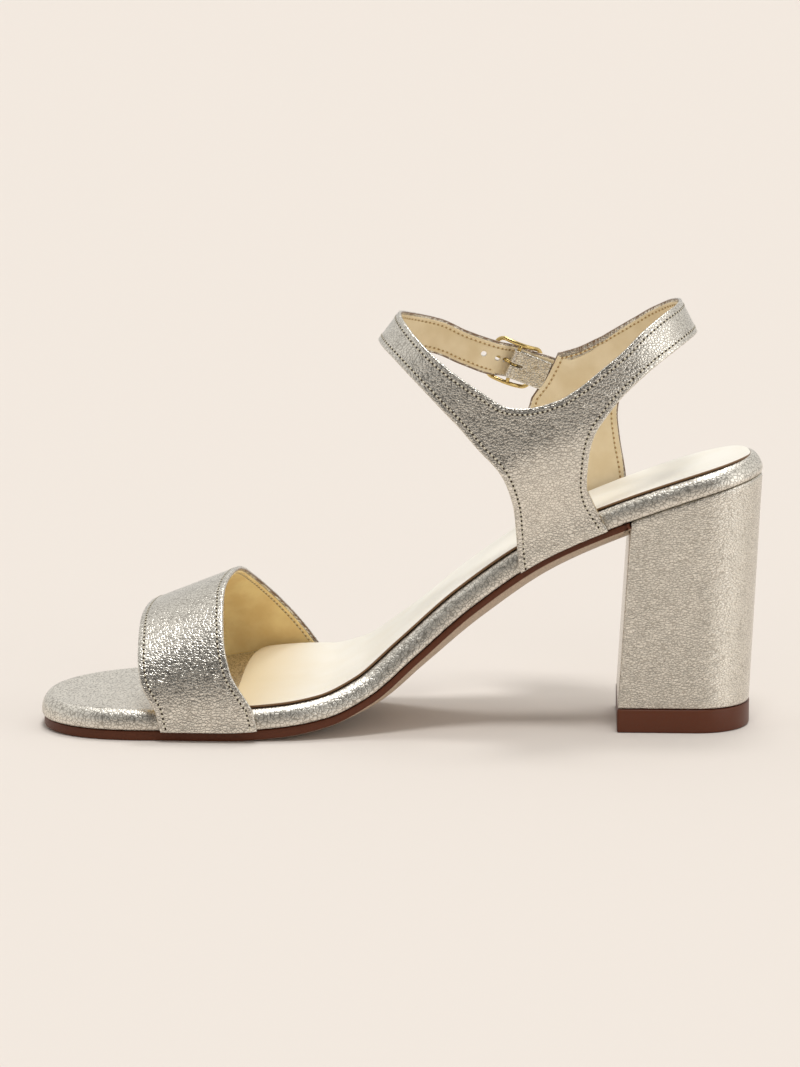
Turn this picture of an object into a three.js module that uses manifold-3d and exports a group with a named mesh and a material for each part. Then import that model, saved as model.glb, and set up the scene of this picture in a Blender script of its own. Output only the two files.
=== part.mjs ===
// A woman's heeled sandal for the right foot, standing empty on its sole.
// Millimetres, +Z up. The toe points to -X, the heel to +X, the medial (inner) side to -Y.
// A place on the sole is told by `along` (from the toe tip), `across` (medial is negative)
// and `lift` (square to the underside of the footbed).
import * as THREE from 'three';
import { mergeVertices } from 'three/addons/utils/BufferGeometryUtils.js';
import Module from 'manifold-3d';

const wasm = await Module();
wasm.setup();

// Driving dimensions
const soleLength = 233;
const ballWidth = 80;
const heelRise = 79.7;
const toeSpring = 0.6;
const clearance = 0.3;

const outsoleThickness = 3.1;
const outsoleInset = 0.9;
const camber = 4.2;
const camberPower = 3;
const footbedThickness = 6.5;
const footbedEdgeRadius = 2.8;
const heelDish = 1.2;
const rimRise = { height: 5.6, from: 0.10, to: 0.58 };
const forefootSwing = 3;
const toeSwing = { shift: 8, reach: 0.2 };
const sockThickness = 0.8;
const sockInset = 2.4;

const heelBaseLength = 42.8;
const heelBaseWidth = 44;
const heelBaseBack = 3.7;
const breastDepth = 43;
const heelInset = 0.7;
const heelCorner = 1.2;
const liftThickness = 7.6;
const liftProud = 0.15;

const vampWall = 1.8;
const vampFrontRise = 27.7;
const vampRearRise = 38.2;
const vampCrownShift = 3;
const vampEase = 0.35;
const vampRound = 0.94;

const ankleWall = 1.6;
const collarRise = 75.5;
const collarSeat = 0.72;
const ringCentre = 0.702;
const ringFront = 44.9;
const ringBack = 42;
const ringHalfWidth = 26;
const ringLean = 0.09;
const ringFrontLean = 0.66;
const ringBackLean = 0.61;
const ringSideLean = 0.115;
const quarterFlare = 32;

const buckleLength = 16.8;
const buckleWidth = 15;
const buckleBar = 0.7;
const buckleCorner = 2.6;
const prongRadius = 0.65;
const tabWidth = 9.6;
const tabLayer = 0.75;

const toRadians = Math.PI / 180;
const { lerp, clamp } = THREE.MathUtils;

// Underside of the footbed: how high it rises, as a share of heelRise
const profile = [
  { along: 0.00, rise: 0 },
  { along: 0.26, rise: 0 },
  { along: 0.33, rise: 0.012 },
  { along: 0.40, rise: 0.043 },
  { along: 0.46, rise: 0.121 },
  { along: 0.52, rise: 0.268 },
  { along: 0.60, rise: 0.471 },
  { along: 0.70, rise: 0.672 },
  { along: 0.80, rise: 0.805 },
  { along: 0.90, rise: 0.911 },
  { along: 1.00, rise: 1 },
];

// Half widths of the footbed before its ends are rounded, as shares of half the ball width
const outline = [
  { along: 0.00, medial: 0.93, lateral: 0.93 },
  { along: 0.10, medial: 0.955, lateral: 0.96 },
  { along: 0.20, medial: 0.975, lateral: 1.00 },
  { along: 0.28, medial: 0.985, lateral: 1.02 },
  { along: 0.35, medial: 0.955, lateral: 0.99 },
  { along: 0.42, medial: 0.85, lateral: 0.86 },
  { along: 0.50, medial: 0.69, lateral: 0.69 },
  { along: 0.58, medial: 0.60, lateral: 0.58 },
  { along: 0.66, medial: 0.585, lateral: 0.57 },
  { along: 0.76, medial: 0.62, lateral: 0.62 },
  { along: 0.88, medial: 0.655, lateral: 0.66 },
  { along: 1.00, medial: 0.65, lateral: 0.65 },
];
const toeRound = { length: 0.165, power: 2.2 };
const seatRound = { length: 0.11, power: 2.5 };

// Camber of the outsole under the shank and its edge thickness, as shares
const shank = [
  { along: 0.00, camber: 0, edge: 1 },
  { along: 0.34, camber: 0, edge: 1 },
  { along: 0.40, camber: 0.3, edge: 0.85 },
  { along: 0.45, camber: 0.7, edge: 0.7 },
  { along: 0.53, camber: 0.84, edge: 0.62 },
  { along: 0.62, camber: 1, edge: 0.6 },
  { along: 1.00, camber: 0.85, edge: 0.6 },
];

// Vamp band: where its front and rear edges lie for each turn over the toes.
// 0 degrees is the medial edge of the footbed, 180 degrees the lateral edge.
const vamp = [
  { turn: 0, front: 0.174, rear: 0.303 },
  { turn: 18, front: 0.153, rear: 0.272 },
  { turn: 34, front: 0.149, rear: 0.263 },
  { turn: 62, front: 0.148, rear: 0.260 },
  { turn: 90, front: 0.154, rear: 0.269 },
  { turn: 118, front: 0.169, rear: 0.282 },
  { turn: 132, front: 0.180, rear: 0.297 },
  { turn: 146, front: 0.195, rear: 0.319 },
  { turn: 162, front: 0.214, rear: 0.349 },
  { turn: 180, front: 0.228, rear: 0.383 },
];

// Ankle upper: ribs from its lower to its upper edge, in order round the ankle. Turn is 0 degrees at
// the back, 90 at the medial side, 180 at the front; up is a share of collarRise above the seat.
// A rib with foot: true stands on the outsole beside the footbed. Corners break the lower edge's curve.
const ribs = [
  // Lateral quarter, from its front edge behind the buckle
  { low: -91.3, lowUp: 0.556, top: -86.4, topUp: 0.756 },
  { low: -92, lowUp: 0.430, top: -85.6, topUp: 0.758 },
  { low: -91.5, lowUp: 0.258, top: -84.6, topUp: 0.762 },
  { low: -90.5, lowUp: 0.100, top: -83.4, topUp: 0.767 },
  { low: -89.8, foot: true, top: -82.2, topUp: 0.772, corner: true },
  { low: -84.5, foot: true, top: -80.4, topUp: 0.780 },
  { low: -78, foot: true, top: -78.6, topUp: 0.790 },
  { low: -70.3, foot: true, top: -76.6, topUp: 0.802, corner: true },
  { low: -70, lowUp: 0.258, top: -74.4, topUp: 0.815 },
  { low: -70.3, lowUp: 0.391, top: -71.6, topUp: 0.830 },
  { low: -69.8, lowUp: 0.510, top: -67.7, topUp: 0.854 },
  { low: -66.5, lowUp: 0.616, top: -62.8, topUp: 0.881 },
  { low: -59, lowUp: 0.709, top: -55.4, topUp: 0.917 },
  { low: -45, lowUp: 0.808, top: -42.5, topUp: 0.967 },
  { low: -24, lowUp: 0.872, top: -23, topUp: 1.010 },
  // Back strap
  { low: 0, lowUp: 0.892, top: 0, topUp: 1.022 },
  { low: 20, lowUp: 0.880, top: 19, topUp: 1.010 },
  { low: 37, lowUp: 0.841, top: 36, topUp: 0.980 },
  { low: 52.3, lowUp: 0.775, top: 51.4, topUp: 0.921 },
  { low: 65.6, lowUp: 0.675, top: 64, topUp: 0.834 },
  // Medial quarter
  { low: 73.6, lowUp: 0.570, top: 73, topUp: 0.762 },
  { low: 77.5, lowUp: 0.483, top: 78.7, topUp: 0.706 },
  { low: 79.2, lowUp: 0.364, top: 82.2, topUp: 0.673 },
  { low: 79.2, lowUp: 0.232, top: 85, topUp: 0.646 },
  { low: 75.4, foot: true, top: 87.1, topUp: 0.634, corner: true },
  { low: 81.5, foot: true, top: 89.5, topUp: 0.618 },
  { low: 86, foot: true, top: 91.6, topUp: 0.608 },
  { low: 90.2, foot: true, top: 94, topUp: 0.606, corner: true },
  { low: 91.3, lowUp: 0.086, top: 96, topUp: 0.609 },
  { low: 92.5, lowUp: 0.219, top: 98.2, topUp: 0.618 },
  { low: 95.3, lowUp: 0.338, top: 101.1, topUp: 0.641 },
  { low: 100.6, lowUp: 0.430, top: 106.2, topUp: 0.682 },
  // Front strap
  { low: 110, lowUp: 0.556, top: 115, topUp: 0.742 },
  { low: 124.8, lowUp: 0.686, top: 128.1, topUp: 0.821 },
  { low: 142, lowUp: 0.781, top: 142, topUp: 0.887 },
  { low: 160, lowUp: 0.832, top: 158, topUp: 0.937 },
  { low: 180, lowUp: 0.848, top: 178, topUp: 0.962 },
  { low: 206, lowUp: 0.812, top: 202, topUp: 0.948 },
  { low: 232.3, lowUp: 0.768, top: 228, topUp: 0.910 },
  { low: 246, lowUp: 0.713, top: 244, topUp: 0.852 },
  // Free end, through the buckle and over the lateral quarter
  { low: 255.5, lowUp: 0.668, top: 257, topUp: 0.802, proud: 0.5 },
  { low: 262, lowUp: 0.643, top: 263.6, topUp: 0.772, proud: 4 },
  { low: 270, lowUp: 0.600, top: 272, topUp: 0.728, proud: 2.2 },
  { low: 278, lowUp: 0.552, top: 280.5, topUp: 0.680, proud: 2 },
  { low: 285, lowUp: 0.508, top: 288, topUp: 0.625, proud: 2 },
  { low: 289.5, lowUp: 0.523, top: 291.5, topUp: 0.563, proud: 2 },
];

// Curves through short tables

// A smooth function through a table's column that never overshoots its rows
function through(rows, key, value) {
  const x = rows.map((row) => row[key]);
  const y = rows.map((row) => row[value]);
  const secant = (i) => (y[i + 1] - y[i]) / (x[i + 1] - x[i]);
  const slope = x.map((_, i) => {
    if (i === 0) return secant(0);
    if (i === x.length - 1) return secant(i - 1);
    const before = secant(i - 1);
    const after = secant(i);
    return before * after <= 0 ? 0 : (2 * before * after) / (before + after);
  });
  return (at) => {
    const found = x.findIndex((value_) => value_ > at);
    const i = found < 0 ? x.length - 2 : Math.max(found - 1, 0);
    const step = x[i + 1] - x[i];
    const t = clamp((at - x[i]) / step, 0, 1);
    const u = 1 - t;
    return (1 + 2 * t) * u * u * y[i] + t * u * u * step * slope[i]
      + t * t * (3 - 2 * t) * y[i + 1] - t * t * u * step * slope[i + 1];
  };
}

// A smooth function through listed values, one for each whole number, which may break at corners
function throughList(values, corners) {
  return (at) => {
    const i = clamp(Math.floor(at), 0, values.length - 2);
    const t = at - i;
    const [a, b] = [values[i], values[i + 1]];
    const before = i === 0 || corners[i] ? 2 * a - b : values[i - 1];
    const after = i === values.length - 2 || corners[i + 1] ? 2 * b - a : values[i + 2];
    return 0.5 * (2 * a + (b - before) * t + (2 * before - 5 * a + 4 * b - after) * t * t
      + (3 * a - before - 3 * b + after) * t * t * t);
  };
}

// Rounds a half width off to nothing at an end: 1 inside, 0 at the end itself
function roundOff(fromEnd, { length, power }) {
  const gone = clamp(1 - fromEnd / length, 0, 1);
  return (1 - gone ** power) ** (1 / power);
}

const riseAt = through(profile, 'along', 'rise');
const medialAt = through(outline, 'along', 'medial');
const lateralAt = through(outline, 'along', 'lateral');
const camberAt = through(shank, 'along', 'camber');
const edgeAt = through(shank, 'along', 'edge');

// The sole's own surfaces

const springLength = 0.11;

// Height of the footbed's underside above the floor, along its middle
function underside(along) {
  const share = along / soleLength;
  const spring = toeSpring * clamp(1 - share / springLength, 0, 1) ** 2;
  return outsoleThickness + clearance + heelRise * riseAt(share) + spring;
}

function slopeAt(along) {
  const step = soleLength / 500;
  const low = Math.max(along - step, 0);
  const high = Math.min(along + step, soleLength);
  return (underside(high) - underside(low)) / (high - low);
}

// Half width of the footbed, on one side: -1 medial, 1 lateral
function halfWidth(along, side) {
  const share = along / soleLength;
  const table = side < 0 ? medialAt(share) : lateralAt(share);
  return ballWidth / 2 * table * roundOff(share, toeRound) * roundOff(1 - share, seatRound);
}

// The middle line of the sole swings towards the medial side in front of the waist, and again
// at the big toe
function middle(along) {
  const share = along / soleLength;
  const toe = toeSwing.shift * clamp(1 - share / toeSwing.reach, 0, 1) ** 2;
  return -forefootSwing * (1 - THREE.MathUtils.smoothstep(share, 0.3, 0.72)) - toe;
}

// Share of the way from the middle line to the edge
function outwards(along, across) {
  return across / Math.max(halfWidth(along, Math.sign(across) || 1), 1);
}

// The seat is hollowed for the heel of the foot
function dish(along, across) {
  const reach = THREE.MathUtils.smoothstep(along / soleLength, 0.6, 0.9);
  return -heelDish * reach * clamp(1 - outwards(along, across) ** 2, 0, 1);
}

// Behind the ball the top of the footbed is built up towards its lateral edge
function rim(along, across) {
  const { height, from, to } = rimRise;
  const share = clamp((along / soleLength - from) / (to - from), 0, 1);
  const sideways = THREE.MathUtils.smoothstep(outwards(along, across), 0, 1);
  return height * Math.sin(Math.PI * share) ** 2 * sideways;
}

function place(along, across, lift) {
  const slope = slopeAt(along);
  const scale = 1 / Math.hypot(1, slope);
  const z = underside(along) + lift * scale;
  return new THREE.Vector3(along - lift * slope * scale, across + middle(along), z);
}

// The place along the sole that a point beside the footbed is square to
function alongAt(x, z) {
  const slope = slopeAt(clamp(x, 0, soleLength));
  const lift = z - underside(clamp(x, 0, soleLength));
  return clamp(x + lift * slope / (1 + slope * slope), 0, soleLength);
}

function footbedTop(x) {
  return underside(x) + footbedThickness * Math.hypot(1, slopeAt(x));
}

// Meshes

// Collects quads of points and gives one closed geometry
class Skin {
  constructor() {
    this.positions = [];
  }

  triangle(a, b, c) {
    if (a.distanceTo(b) < 1e-4 || b.distanceTo(c) < 1e-4 || c.distanceTo(a) < 1e-4) return;
    for (const p of [a, b, c]) this.positions.push(p.x, p.y, p.z);
  }

  quad(a, b, c, d) {
    if (a.distanceTo(c) <= b.distanceTo(d)) {
      this.triangle(a, b, c);
      this.triangle(a, c, d);
    } else {
      this.triangle(a, b, d);
      this.triangle(b, c, d);
    }
  }

  // A sheet of rows; its face looks along (next row) x (next column)
  sheet(rows, flip = false) {
    for (let i = 0; i + 1 < rows.length; i += 1) {
      for (let j = 0; j + 1 < rows[i].length; j += 1) {
        const corners = [rows[i][j], rows[i + 1][j], rows[i + 1][j + 1], rows[i][j + 1]];
        if (flip) corners.reverse();
        this.quad(...corners);
      }
    }
  }

  // A strip between two closed loops of as many points
  band(lower, upper) {
    lower.forEach((point, i) => {
      const next = (i + 1) % lower.length;
      this.quad(point, lower[next], upper[next], upper[i]);
    });
  }

  geometry() {
    const geometry = new THREE.BufferGeometry();
    geometry.setAttribute('position', new THREE.Float32BufferAttribute(this.positions, 3));
    return mergeVertices(geometry, 1e-3);
  }
}

// Rows of a slab run from the toe end to the heel end; each row has a medial and a lateral end
function stations(from, to, count) {
  return Array.from({ length: count + 1 }, (_, i) => {
    return lerp(from, to, 0.5 - 0.5 * Math.cos(Math.PI * i / count));
  });
}

// Moves the outline's points inwards, square to it
function inset(rows, distance) {
  const loop = [...rows.map((row) => row.medial), ...rows.map((row) => row.lateral).reverse()];
  const distinct = loop.filter((point, i) => {
    return point.distanceTo(loop[(i + loop.length - 1) % loop.length]) > 1e-6;
  });
  const moved = new Map(distinct.map((point, i) => {
    const before = distinct[(i + distinct.length - 1) % distinct.length];
    const after = distinct[(i + 1) % distinct.length];
    const inward = (a, b) => new THREE.Vector2(a.y - b.y, b.x - a.x).normalize();
    const [u, v] = [inward(before, point), inward(point, after)];
    const bisector = u.clone().add(v).normalize();
    const reach = distance / Math.max(bisector.dot(u), 0.5);
    return [point, point.clone().addScaledVector(bisector, reach)];
  }));
  const find = (point) => moved.get(distinct.find((other) => other.distanceTo(point) < 1e-6));
  return rows.map((row) => ({ medial: find(row.medial), lateral: find(row.lateral) }));
}

// A closed slab: levels from the bottom up, each an outline and a function that places its points
function slab(levels, columns) {
  const grid = ({ rows, at }) => rows.map(({ medial, lateral }) => {
    return Array.from({ length: columns + 1 }, (_, k) => {
      const point = medial.clone().lerp(lateral, k / columns);
      return at(point.x, point.y);
    });
  });
  const rim = (points) => {
    const last = points.length - 1;
    return [
      ...points.map((row) => row[0]),
      ...points[last].slice(1, columns),
      ...points.map((row) => row[columns]).reverse(),
      ...points[0].slice(1, columns).reverse(),
    ];
  };
  const skin = new Skin();
  const grids = levels.map(grid);
  skin.sheet(grids[0], true);
  skin.sheet(grids[grids.length - 1]);
  for (let i = 0; i + 1 < grids.length; i += 1) skin.band(rim(grids[i]), rim(grids[i + 1]));
  return skin.geometry();
}

// A wall of even thickness outside a grid of points; proud moves a row of the grid outwards first
function shell(grid, thickness, proud = () => 0) {
  const normal = (i, j) => {
    const along = grid[Math.min(i + 1, grid.length - 1)][j].clone().sub(grid[Math.max(i - 1, 0)][j]);
    const row = grid[i];
    const up = row[Math.min(j + 1, row.length - 1)].clone().sub(row[Math.max(j - 1, 0)]);
    return along.cross(up).normalize();
  };
  const offset = (distance) => grid.map((row, i) => {
    return row.map((point, j) => point.clone().addScaledVector(normal(i, j), distance(i)));
  });
  const inner = offset(proud);
  const outer = offset((i) => proud(i) + thickness);
  const rim = (points) => [
    ...points.map((row) => row[0]),
    ...points[points.length - 1].slice(1),
    ...points.slice(0, -1).map((row) => row[row.length - 1]).reverse(),
    ...points[0].slice(1, -1).reverse(),
  ];
  const skin = new Skin();
  skin.sheet(inner, true);
  skin.sheet(outer);
  skin.band(rim(inner), rim(outer));
  return skin.geometry();
}

// A round bar along a path of points, closed on itself or with flat ends
function bar(path, radiusAt, sides, closed, reference) {
  const count = path.length;
  const wrap = (i) => (closed ? (i + count) % count : clamp(i, 0, count - 1));
  const rings = path.map((point, i) => {
    const along = path[wrap(i + 1)].clone().sub(path[wrap(i - 1)]).normalize();
    const across = reference.clone().cross(along).normalize();
    const up = along.clone().cross(across);
    return Array.from({ length: sides }, (_, k) => {
      const angle = 2 * Math.PI * (k + 0.5) / sides;
      return point.clone()
        .addScaledVector(across, radiusAt(i) * Math.cos(angle))
        .addScaledVector(up, radiusAt(i) * Math.sin(angle));
    });
  });
  const skin = new Skin();
  for (let i = 0; i < (closed ? count : count - 1); i += 1) skin.band(rings[i], rings[wrap(i + 1)]);
  if (!closed) {
    const [first, last] = [rings[0], rings[count - 1]];
    for (let k = 1; k + 1 < sides; k += 1) {
      skin.triangle(first[0], first[k + 1], first[k]);
      skin.triangle(last[0], last[k], last[k + 1]);
    }
  }
  return skin.geometry();
}

// Cuts and joins
function solid(geometry) {
  const bare = geometry.clone();
  bare.deleteAttribute('normal');
  bare.deleteAttribute('uv');
  const merged = mergeVertices(bare, 1e-4);
  return new wasm.Manifold(new wasm.Mesh({
    numProp: 3,
    vertProperties: new Float32Array(merged.attributes.position.array),
    triVerts: new Uint32Array(merged.index.array),
  }));
}

function fromSolid(body) {
  const mesh = body.getMesh();
  const geometry = new THREE.BufferGeometry();
  geometry.setAttribute('position', new THREE.BufferAttribute(mesh.vertProperties, 3));
  geometry.setIndex(new THREE.BufferAttribute(mesh.triVerts, 1));
  return geometry;
}

const cut = (geometry, tool) => fromSolid(solid(geometry).subtract(solid(tool)));
const join = (geometry, other) => fromSolid(solid(geometry).add(solid(other)));

// Materials
const material = (color, roughness, metalness) => {
  return new THREE.MeshStandardMaterial({ color, roughness, metalness });
};
const metallicLeather = material(0xb9ab8c, 0.42, 0.55);
const soleLeather = material(0x6b3a22, 0.55, 0);
const liftRubber = material(0x5a2f1e, 0.5, 0);
const sockLeather = material(0xf0ead8, 0.6, 0);
const brass = material(0xc9ab6a, 0.3, 1);

// Sole outline rows from one place along the sole to another
function soleRows(from, to, count, front = () => 1) {
  return stations(from, to, count).map((along) => ({
    medial: new THREE.Vector2(along, -halfWidth(along, -1) * front(along)),
    lateral: new THREE.Vector2(along, halfWidth(along, 1) * front(along)),
  }));
}

const breast = soleLength - breastDepth;
const heelBack = soleLength - heelBaseBack;
const heelFront = heelBack - heelBaseLength;
const heelBaseTop = liftThickness + clearance;

// X of the heel block's front face at a height
function breastFace(z) {
  const top = underside(breast);
  return lerp(heelFront, breast, (z - heelBaseTop) / (top - heelBaseTop));
}

function outsole() {
  const rows = soleRows(0, breast + 8, 36);
  const bottom = (along, across) => {
    const share = along / soleLength;
    const edge = Math.max(halfWidth(along, Math.sign(across) || 1) - outsoleInset, 1);
    const inside = clamp(1 - Math.abs(across / edge) ** camberPower, 0, 1);
    return -clearance - outsoleThickness * edgeAt(share) - camber * camberAt(share) * inside;
  };
  const edge = 0.5;
  const slabSole = slab([
    { rows: inset(rows, outsoleInset + edge), at: (s, y) => place(s, y, bottom(s, y)) },
    { rows: inset(rows, outsoleInset), at: (s, y) => place(s, y, bottom(s, y) + edge) },
    { rows: inset(rows, outsoleInset), at: (s, y) => place(s, y, -clearance - 0.2) },
    { rows: inset(rows, outsoleInset + 0.3), at: (s, y) => place(s, y, -clearance) },
  ], 6);
  const top = underside(breast) + 20;
  const face = [[breastFace(0), 0], [breastFace(top), top], [soleLength, top], [soleLength, 0]];
  const behind = new THREE.Shape(face.map(([x, z]) => new THREE.Vector2(x - clearance, z)));
  const block = new THREE.ExtrudeGeometry(behind, { depth: ballWidth, bevelEnabled: false });
  block.rotateX(Math.PI / 2);
  block.translate(0, ballWidth / 2, 0);
  return cut(slabSole, block);
}

function footbed() {
  const rows = soleRows(0, soleLength, 40);
  const level = (distance, lift) => ({ rows: inset(rows, distance), at: (s, y) => place(s, y, lift) });
  const radius = footbedEdgeRadius;
  const top = footbedThickness;
  const arc = (degrees) => {
    const angle = degrees * toRadians;
    const lift = top - radius * (1 - Math.cos(angle));
    return { rows: inset(rows, radius * (1 - Math.sin(angle))), at: (s, y) => place(s, y, lift + rim(s, y)) };
  };
  return slab([
    level(0.9, 0),
    level(0.2, 0.5),
    level(0, 1.3),
    arc(90),
    arc(60),
    arc(32),
    { rows: inset(rows, radius), at: (s, y) => place(s, y, top + dish(s, y) + rim(s, y)) },
  ], 6);
}

function sock() {
  const from = 0.262 * soleLength;
  const corner = 11;
  const front = (along) => roundOff((along - from) / corner, { length: 1, power: 2.5 });
  const rows = soleRows(from, soleLength, 34, front);
  const low = footbedThickness + 1.5 * clearance;
  const level = (distance, lift) => ({
    rows: inset(rows, distance),
    at: (s, y) => place(s, y, lift + dish(s, y) + rim(s, y)),
  });
  return slab([
    level(sockInset, low),
    level(sockInset, low + sockThickness - 0.3),
    level(sockInset + 0.4, low + sockThickness),
  ], 6);
}

// D shape of the heel: straight sides, rounded back, cut corners at the breast
function heelBaseRows(proud) {
  const count = 12;
  const half = heelBaseWidth / 2 + proud;
  const back = { length: 0.43, power: 2.15 };
  const from = heelFront - proud;
  const to = heelBack + proud;
  const width = (x) => {
    const front = Math.min(half, half - heelCorner + (x - from));
    return front * roundOff((to - x) / (to - from), back);
  };
  return heelStations(from, to, count).map((x) => ({
    medial: new THREE.Vector2(x, -width(x)),
    lateral: new THREE.Vector2(x, width(x)),
  }));
}

function heelStations(from, to, count) {
  const rest = Array.from({ length: count }, (_, i) => {
    return lerp(from + heelCorner, to, Math.sin(Math.PI / 2 * i / (count - 1)));
  });
  return [from, ...rest];
}

function heelBlock() {
  const count = 12;
  const low = heelBaseRows(0);
  const seat = heelStations(breast, soleLength, count).map((along, i) => {
    const corner = i === 0 ? heelCorner : 0;
    return {
      medial: new THREE.Vector2(along, corner - halfWidth(along, -1)),
      lateral: new THREE.Vector2(along, halfWidth(along, 1) - corner),
    };
  });
  const high = inset(seat, heelInset).map((row, i) => {
    if (i > 1) return row;
    const along = i === 0 ? breast : breast + heelCorner;
    return {
      medial: new THREE.Vector2(along, row.medial.y),
      lateral: new THREE.Vector2(along, row.lateral.y),
    };
  });
  const steps = 5;
  const levels = Array.from({ length: steps + 1 }, (_, i) => i / steps);
  const columns = 4;
  const skin = new Skin();
  const grids = levels.map((share) => low.map((base, i) => {
    return Array.from({ length: columns + 1 }, (_, k) => {
      const foot = base.medial.clone().lerp(base.lateral, k / columns);
      const seatPoint = high[i].medial.clone().lerp(high[i].lateral, k / columns);
      const top = place(seatPoint.x, seatPoint.y, -clearance);
      const bottom = new THREE.Vector3(foot.x, foot.y, heelBaseTop);
      const point = bottom.lerp(top, share);
      const waist = 1 - 0.012 * Math.sin(Math.PI * share);
      point.y *= waist;
      return point;
    });
  }));
  const rim = (points) => [
    ...points.map((row) => row[0]),
    ...points.map((row) => row[columns]).reverse(),
    ...points[0].slice(1, columns).reverse(),
  ];
  skin.sheet(grids[0], true);
  skin.sheet(grids[steps]);
  for (let i = 0; i < steps; i += 1) skin.band(rim(grids[i]), rim(grids[i + 1]));
  return skin.geometry();
}

function heelLift() {
  const rows = heelBaseRows(liftProud);
  const level = (distance, z) => ({
    rows: inset(rows, distance),
    at: (x, y) => new THREE.Vector3(x, y, z),
  });
  return slab([
    level(0.5, 0),
    level(0, 0.6),
    level(0, liftThickness),
  ], 2);
}

// Inner face of the vamp band: up beside the footbed, then over the toes in a rounded arch
function vampBand() {
  const frontAt = through(vamp, 'turn', 'front');
  const rearAt = through(vamp, 'turn', 'rear');
  const across = 6;
  const arch = 26;
  const turns = Array.from({ length: arch + 1 }, (_, i) => 180 * i / arch);
  const flare = 0.006;
  const point = (turn, share, foot) => {
    const flareAlong = foot ? flare : 0;
    const front = frontAt(turn) + flareAlong;
    const rear = rearAt(turn) + flareAlong;
    const x = soleLength * lerp(front, rear, share);
    const side = turn < 90 ? -1 : 1;
    const angle = turn * toRadians;
    const rise = lerp(vampFrontRise, vampRearRise, share) * Math.sin(angle) ** vampRound;
    const base = foot ? underside(x) + clearance : footbedTop(x);
    const z = base + Math.max(rise, 0);
    const along = alongAt(x, base);
    const half = halfWidth(along, side) + clearance + vampEase;
    const y = middle(along) + side * half * Math.abs(Math.cos(angle)) ** vampRound
      - vampCrownShift * Math.sin(angle) ** 2;
    return new THREE.Vector3(x, y, z);
  };
  const row = (turn, foot) => Array.from({ length: across + 1 }, (_, j) => point(turn, j / across, foot));
  const grid = [row(0, true), ...turns.map((turn) => row(turn, false)), row(180, true)];
  return shell(grid.map((points) => points.reverse()), vampWall);
}

// Inner face of the ankle ring and of the quarters below it
const seatZ = underside(collarSeat * soleLength);
const ringTop = seatZ + collarRise;

function ringPoint(turn, z) {
  const above = z - ringTop;
  const centre = ringCentre * soleLength + ringLean * above;
  const round = 2 / 2.3;
  const angle = turn * toRadians;
  const [c, s] = [Math.cos(angle), -Math.sin(angle)];
  const reach = c < 0 ? ringFront - ringFrontLean * above : ringBack - ringBackLean * above;
  const x = centre + reach * Math.sign(c) * Math.abs(c) ** round;
  const ringY = (ringHalfWidth - ringSideLean * above) * Math.sign(s) * Math.abs(s) ** round;
  const side = Math.sign(s) || 1;
  const along = alongAt(x, z);
  const foot = middle(along) + side * (halfWidth(along, side) + clearance + 0.5);
  const free = THREE.MathUtils.smoothstep(z - footbedTop(clamp(x, 0, soleLength)), 0, quarterFlare);
  return new THREE.Vector3(x, lerp(foot, ringY, free), z);
}

// Height of the foot of a quarter, just above the outsole
function footHeight(turn) {
  let z = seatZ;
  for (let i = 0; i < 12; i += 1) {
    const x = clamp(ringPoint(turn, z).x, 0, soleLength);
    z = underside(x) + clearance;
  }
  return z;
}

function ankleGrid(finer, across) {
  const corners = ribs.map((rib) => Boolean(rib.corner));
  const smoothAll = ribs.map(() => false);
  const height = (up) => seatZ + collarRise * up;
  const lowTurn = throughList(ribs.map((rib) => rib.low), corners);
  const lowZ = throughList(ribs.map((rib) => (rib.foot ? footHeight(rib.low) : height(rib.lowUp))), corners);
  const topTurn = throughList(ribs.map((rib) => rib.top), smoothAll);
  const topZ = throughList(ribs.map((rib) => height(rib.topUp)), smoothAll);
  const proud = throughList(ribs.map((rib) => rib.proud ?? 0), smoothAll);
  const steps = (ribs.length - 1) * finer;
  const grid = [];
  const prouds = [];
  for (let i = 0; i <= steps; i += 1) {
    const at = i / finer;
    prouds.push(Math.max(proud(at), 0));
    const rib = Math.min(Math.floor(at), ribs.length - 2);
    const standing = ribs[rib].foot && ribs[rib + 1].foot;
    const low = standing ? footHeight(lowTurn(at)) : lowZ(at);
    grid.push(Array.from({ length: across + 1 }, (_, j) => {
      const share = j / across;
      return ringPoint(lerp(lowTurn(at), topTurn(at), share), lerp(low, topZ(at), share));
    }));
  }
  return { grid, prouds };
}

// The buckle lies on the lateral side, in front of the quarter. Its own axes: X towards the toe along
// the strap, Y up across the strap, Z outwards from the inner face of the ring.
const buckleSeat = { turn: 263, up: 0.707 };
const buckleSlope = { turn: 7.5, up: 0.044 };

function buckleAxes() {
  const at = (turn, up) => ringPoint(turn, seatZ + collarRise * up);
  const { turn, up } = buckleSeat;
  const seat = at(turn, up);
  const forward = at(turn - buckleSlope.turn, up + buckleSlope.up)
    .sub(at(turn + buckleSlope.turn, up - buckleSlope.up)).normalize();
  const outward = forward.clone().cross(at(turn, up + 0.08).sub(at(turn, up - 0.08))).normalize();
  const upward = outward.clone().cross(forward);
  return new THREE.Matrix4().makeBasis(forward, upward, outward).setPosition(seat);
}

const axes = buckleAxes();
const centreBarLevel = 1.45;
const loopRadius = buckleBar + 0.15 + prongRadius;

// How far out the rails of the frame lie, bent away from the ankle at both ends
function railLevel(x) {
  const end = x > 0 ? 3.2 : 5.7;
  return centreBarLevel + end * (2 * x / buckleLength) ** 2;
}

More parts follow.
